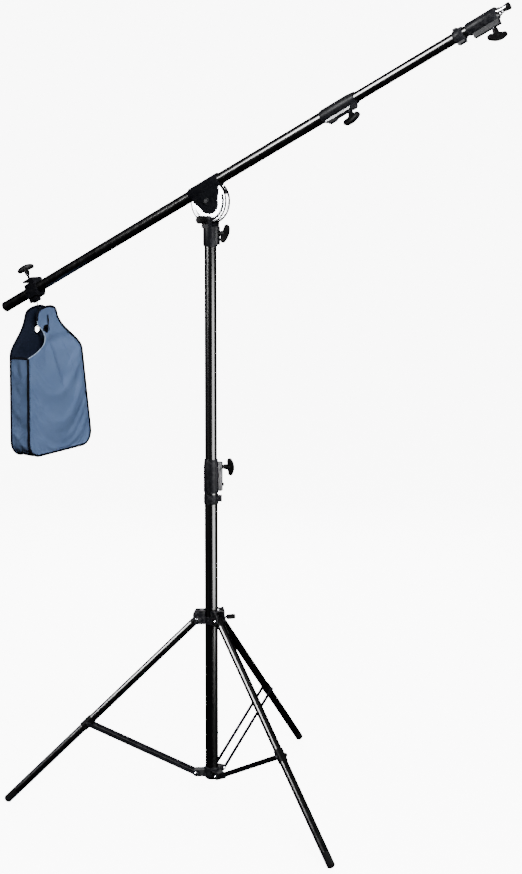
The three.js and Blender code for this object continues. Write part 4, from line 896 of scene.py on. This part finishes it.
def cut_eyelet(bm, centre):
    """Opens an oval hole: faces inside it go and the points round it move onto its rim."""
    half_y, half_z = BAG["eyelet"]
    y0, z0 = centre

    def reach(point):
        return math.hypot((point.y / MM - y0) / half_y, (point.z / MM - z0) / half_z)

    gone = {face for face in bm.faces if reach(face.calc_center_median()) < EYELET_SHARE}
    rim = {v for face in gone for v in face.verts if any(f not in gone for f in v.link_faces)}
    for v in rim:
        out = reach(v.co)
        v.co.y = (y0 + (v.co.y / MM - y0) / out) * MM
        v.co.z = (z0 + (v.co.z / MM - z0) / out) * MM
    bmesh.ops.delete(bm, geom=list(gone), context="FACES")


def sweep(bm, points, radius, sides=8):
    """A round cord of the given radius along points, all in mm, in the bag's frame."""
    last = len(points) - 1
    circle = [(math.cos(TURN * k / sides), math.sin(TURN * k / sides)) for k in range(sides)]
    rings = []
    normal = None
    for i, point in enumerate(points):
        tangent = points[min(i + 1, last)] - points[max(i - 1, 0)]
        tangent.normalize()
        if normal is None:
            normal = tangent.orthogonal()
        normal = (normal - tangent * normal.dot(tangent)).normalized()
        other = tangent.cross(normal)
        rings.append([bm.verts.new((point + radius * (normal * x + other * y)) * MM) for x, y in circle])
    for low, high in zip(rings, rings[1:]):
        for k in range(sides):
            n = (k + 1) % sides
            bm.faces.new((low[k], low[n], high[n], high[k]))
    bm.faces.new(rings[0][::-1])
    bm.faces.new(rings[-1])


def bag_trim(name, bm, material):
    return link_mesh(name, mesh_from(name, bm, BAG_FRAME, 60), "bag", "blue_fabric", material)


def cord_piece(name, paths, radius, material):
    bm = bmesh.new()
    for path in paths:
        sweep(bm, path, radius)
    return bag_trim(name, bm, material)


STITCH = dict(pitch=4.5, long=3.0, radius=0.42, lift=0.35, arch=0.25, sides=5)


def stitches(name, paths):
    """Short thread stitches along each path, in mm; each path comes with its way out of the cloth."""
    bm = bmesh.new()
    s = STITCH
    for path, out in paths:
        left = 0.0
        for a, b in zip(path, path[1:]):
            span = (b - a).length
            while left + s["long"] < span:
                start, end = a.lerp(b, left / span), a.lerp(b, (left + s["long"]) / span)
                middle = (start + end) / 2 + out * (s["lift"] + s["arch"])
                sweep(bm, [start + out * s["lift"], middle, end + out * s["lift"]], s["radius"], s["sides"])
                left += s["pitch"]
            left = max(0.0, left - span)
    return bag_trim(name, bm, "black_binding")


EYELET_RING = dict(width=2.1, height=1.5, count=40, turns=12, sunk=0.6)


def eyelet_ring(name, side):
    """A pressed metal ring round an eyelet, on both faces of the cloth."""
    bm = bmesh.new()
    half_y, half_z = BAG["eyelet"]
    r = EYELET_RING
    x = side * (bag_depth(BAG["eyelet_height"], 0, side) - r["sunk"])
    rings = []
    for i in range(r["count"]):
        angle = TURN * i / r["count"]
        ring = []
        for k in range(r["turns"]):
            around = TURN * k / r["turns"]
            out = r["width"] + r["width"] * math.cos(around)
            ring.append(bm.verts.new((
                (x + side * r["height"] * math.sin(around)) * MM,
                (half_y + out) * math.cos(angle) * MM,
                (BAG["eyelet_height"] + (half_z + out) * math.sin(angle)) * MM,
            )))
        rings.append(ring)
    for i, ring in enumerate(rings):
        after = rings[(i + 1) % len(rings)]
        for k in range(len(ring)):
            n = (k + 1) % len(ring)
            bm.faces.new((ring[k], after[k], after[n], ring[n]))
    return bag_trim(name, bm, "black_enamel")


# In mm: the cords' radii, how far the piping stands out from its panel, and where the hem starts, whose
# pale colour is a painted highlight
PIPING_RADIUS, HEM_RADIUS = 3.4, 1.3
PIPING_OUT = 0.4
HEM_BELOW = 22


def edge_trims(grids, strip):
    """The hem of the front's free edge, painted pale as a highlight, and the dark piping of every other
    edge and of the gusset.
    """
    bindings = []
    foot = GUSSET_ROW
    top = len(grids["front"]) - 1
    for word, side in PANELS:
        grid = grids[word]
        rim = [grid[row][0] for row in range(foot, 0, -1)] + grid[0]
        rim += [grid[row][BAG_COLUMNS] for row in range(1, top + 1)]
        rim += grid[top][::-1][1:]
        if side > 0:
            free = [grid[row][0] for row in range(top, foot, -1)]
            cut = next(i for i, p in enumerate(free) if p.z < HEM_BELOW)
            rim += free[1:cut + 1]
            # The hem's pale colour is a painted highlight
            hem = cord_piece("bag_free_hem", [free[cut:] + [grid[foot][0]]], HEM_RADIUS, "hem_painted_highlight")
        else:
            rim += [grid[row][0] for row in range(top - 1, foot, -1)]
            rim.append(grid[foot][0])
        out = Vector((side * PIPING_OUT, 0, 0))
        bindings.append([p + out for p in rim])
    bindings += [strip[0], strip[-1]]
    return [hem, cord_piece("bag_piping", bindings, PIPING_RADIUS, "black_binding")]


# Grid steps from the sides, from the bottom and from the top
STITCH_COLUMN, STITCH_ROW, STITCH_END = 2, 3, 6


def seam_stitches(grids):
    """Stitches inside both sides and the bottom of each panel, and up one side of its tongue."""
    top = len(grids["front"]) - 1
    left, right = STITCH_COLUMN, BAG_COLUMNS - STITCH_COLUMN
    paths = []
    for word, side in PANELS:
        grid = grids[word]
        out = Vector((side, 0, 0))
        for column in (left, right):
            paths.append(([grid[row][column] for row in range(STITCH_ROW, GUSSET_ROW)], out))
        paths.append((grid[STITCH_ROW][left:right + 1], out))
        paths.append(([grid[row][right] for row in range(GUSSET_ROW, top - STITCH_END)], out))
    return stitches("bag_stitches", paths)


def make_sandbag():
    moved, parts = shape_bag()
    grids = {word: [[moved[k] for k in row] for row in parts[word]] for word, _ in PANELS}
    strip = [[moved[k] for k in line] for line in parts["gusset"]]
    panels = {
        word: cloth_piece("bag_" + word, grids[word], (0, BAG["eyelet_height"]), side < 0)
        for word, side in PANELS
    }
    gusset, gusset_area = cloth_piece("bag_gusset", strip)

    trims = edge_trims(grids, strip) + [seam_stitches(grids)]
    rings = {word: eyelet_ring("bag_eyelet_" + word, side) for word, side in PANELS}


# Studio: a pale floor and backdrop that only the camera sees, softboxes that light and others that are
# only mirrored

CAMERA_SIDE = 0
GLOW = (2.2, 9.0)
FLOOR_FADE = (-7.0, -0.54)
BACKDROP_FADE = (-0.4, 0.9)
FLOOR_HALF = 40.0
FLOOR_DROP = 0.0005
WHITE = (1, 1, 1, 1)

# Name, azimuth and elevation in degrees, then in metres the distance and the size, the power in watts, and
# the target in metres from the column's foot
MIRRORED = [
    ("column_gloss", 49, 0, 2.0, (1.6, 1.36), 150, (0, 0, 0.68)),
    ("boom_gloss", -61, 12, 2.6, (1.1, 1.35), 400, (0.1, 0, 1.7)),
    ("back_gloss", 180, 8, 4.0, (3.6, 2.4), 70, (0, 0, 1.1)),
    ("high_gloss", 20, 74, 3.5, (1.6, 1.6), 12, (0, 0, 1.0)),
]
LIGHTING = [
    ("key", 20, 20, 4.0, (1.4, 1.4), 240, (-0.5, 0, 1.2)),
    ("top", 180, 82, 4.5, (4, 4), 150, (0, 0, 0)),
    ("back_fill", 180, 22, 4.0, (3, 2), 130, (0, 0, 0.9)),
]


def ground_direction(azimuth):
    """A level direction; azimuth is in degrees from the camera's side, positive to the photo's right."""
    angle = BOOM_TURN - math.pi / 2 + math.radians(azimuth)
    return Vector((math.cos(angle), math.sin(angle), 0))


def softbox(name, azimuth, elevation, distance, size, power, target, gloss):
    """A rectangular light that faces target; a gloss light is only mirrored, and another only lights."""
    data = bpy.data.lights.new(name, "AREA")
    data.shape = "RECTANGLE"
    data.size, data.size_y = size
    data.energy = power
    light = bpy.data.objects.new(name, data)
    bpy.context.scene.collection.objects.link(light)
    light.visible_camera = False
    light.visible_diffuse = not gloss
    light.visible_glossy = gloss
    rise = math.radians(elevation)
    away = ground_direction(azimuth) * math.cos(rise) + Vector((0, 0, math.sin(rise)))
    light.location = Vector(target) + Vector((*COLUMN, 0)) + away * distance
    light.rotation_euler = away.to_track_quat("Z", "Y").to_euler()


def make_floor():
    r = FLOOR_HALF
    mesh = bpy.data.meshes.new("floor")
    mesh.from_pydata([(-r, -r, 0), (r, -r, 0), (r, r, 0), (-r, r, 0)], [], [(0, 1, 2, 3)])
    floor = bpy.data.objects.new("floor", mesh)
    floor.location.z = -FLOOR_DROP
    bpy.context.scene.collection.objects.link(floor)
    floor.visible_diffuse = False
    floor.visible_glossy = False
    pale = Shader("pale_floor")
    pale.colour(pale.mix(pale.noise(0.6, 2), (0.86, 0.86, 0.86), (0.9, 0.9, 0.9)))
    pale.set(Roughness=0.9, Specular_IOR_Level=0.1, Emission_Color=WHITE)
    away = pale.node("ShaderNodeVectorMath", operation="DOT_PRODUCT")
    away.inputs[1].default_value = -ground_direction(CAMERA_SIDE)
    pale.link(pale.place, away.inputs[0])
    glow = pale.ramp(away.outputs["Value"], *GLOW, *FLOOR_FADE)
    pale.link(glow, pale.bsdf.inputs["Emission Strength"])
    mesh.materials.append(pale.material)


def make_world():
    world = bpy.data.worlds.new("studio")
    world.use_nodes = True
    tree = world.node_tree
    background = tree.nodes["Background"]
    background.inputs["Color"].default_value = WHITE
    facing = tree.nodes.new("ShaderNodeVectorMath")
    facing.operation = "DOT_PRODUCT"
    facing.inputs[1].default_value = -ground_direction(CAMERA_SIDE)
    tree.links.new(tree.nodes.new("ShaderNodeTexCoord").outputs["Generated"], facing.inputs[0])
    falloff = tree.nodes.new("ShaderNodeMapRange")
    falloff.interpolation_type = "SMOOTHSTEP"
    for socket, value in zip(("From Min", "From Max", "To Min", "To Max"), BACKDROP_FADE + GLOW):
        falloff.inputs[socket].default_value = value
    tree.links.new(facing.outputs["Value"], falloff.inputs["Value"])
    tree.links.new(falloff.outputs["Result"], background.inputs["Strength"])
    bpy.context.scene.world = world
    world.cycles_visibility.diffuse = False
    world.cycles_visibility.glossy = False


def make_studio():
    make_floor()
    make_world()
    for row in MIRRORED:
        softbox(*row, gloss=True)
    for row in LIGHTING:
        softbox(*row, gloss=False)


make_sandbag()
make_studio()
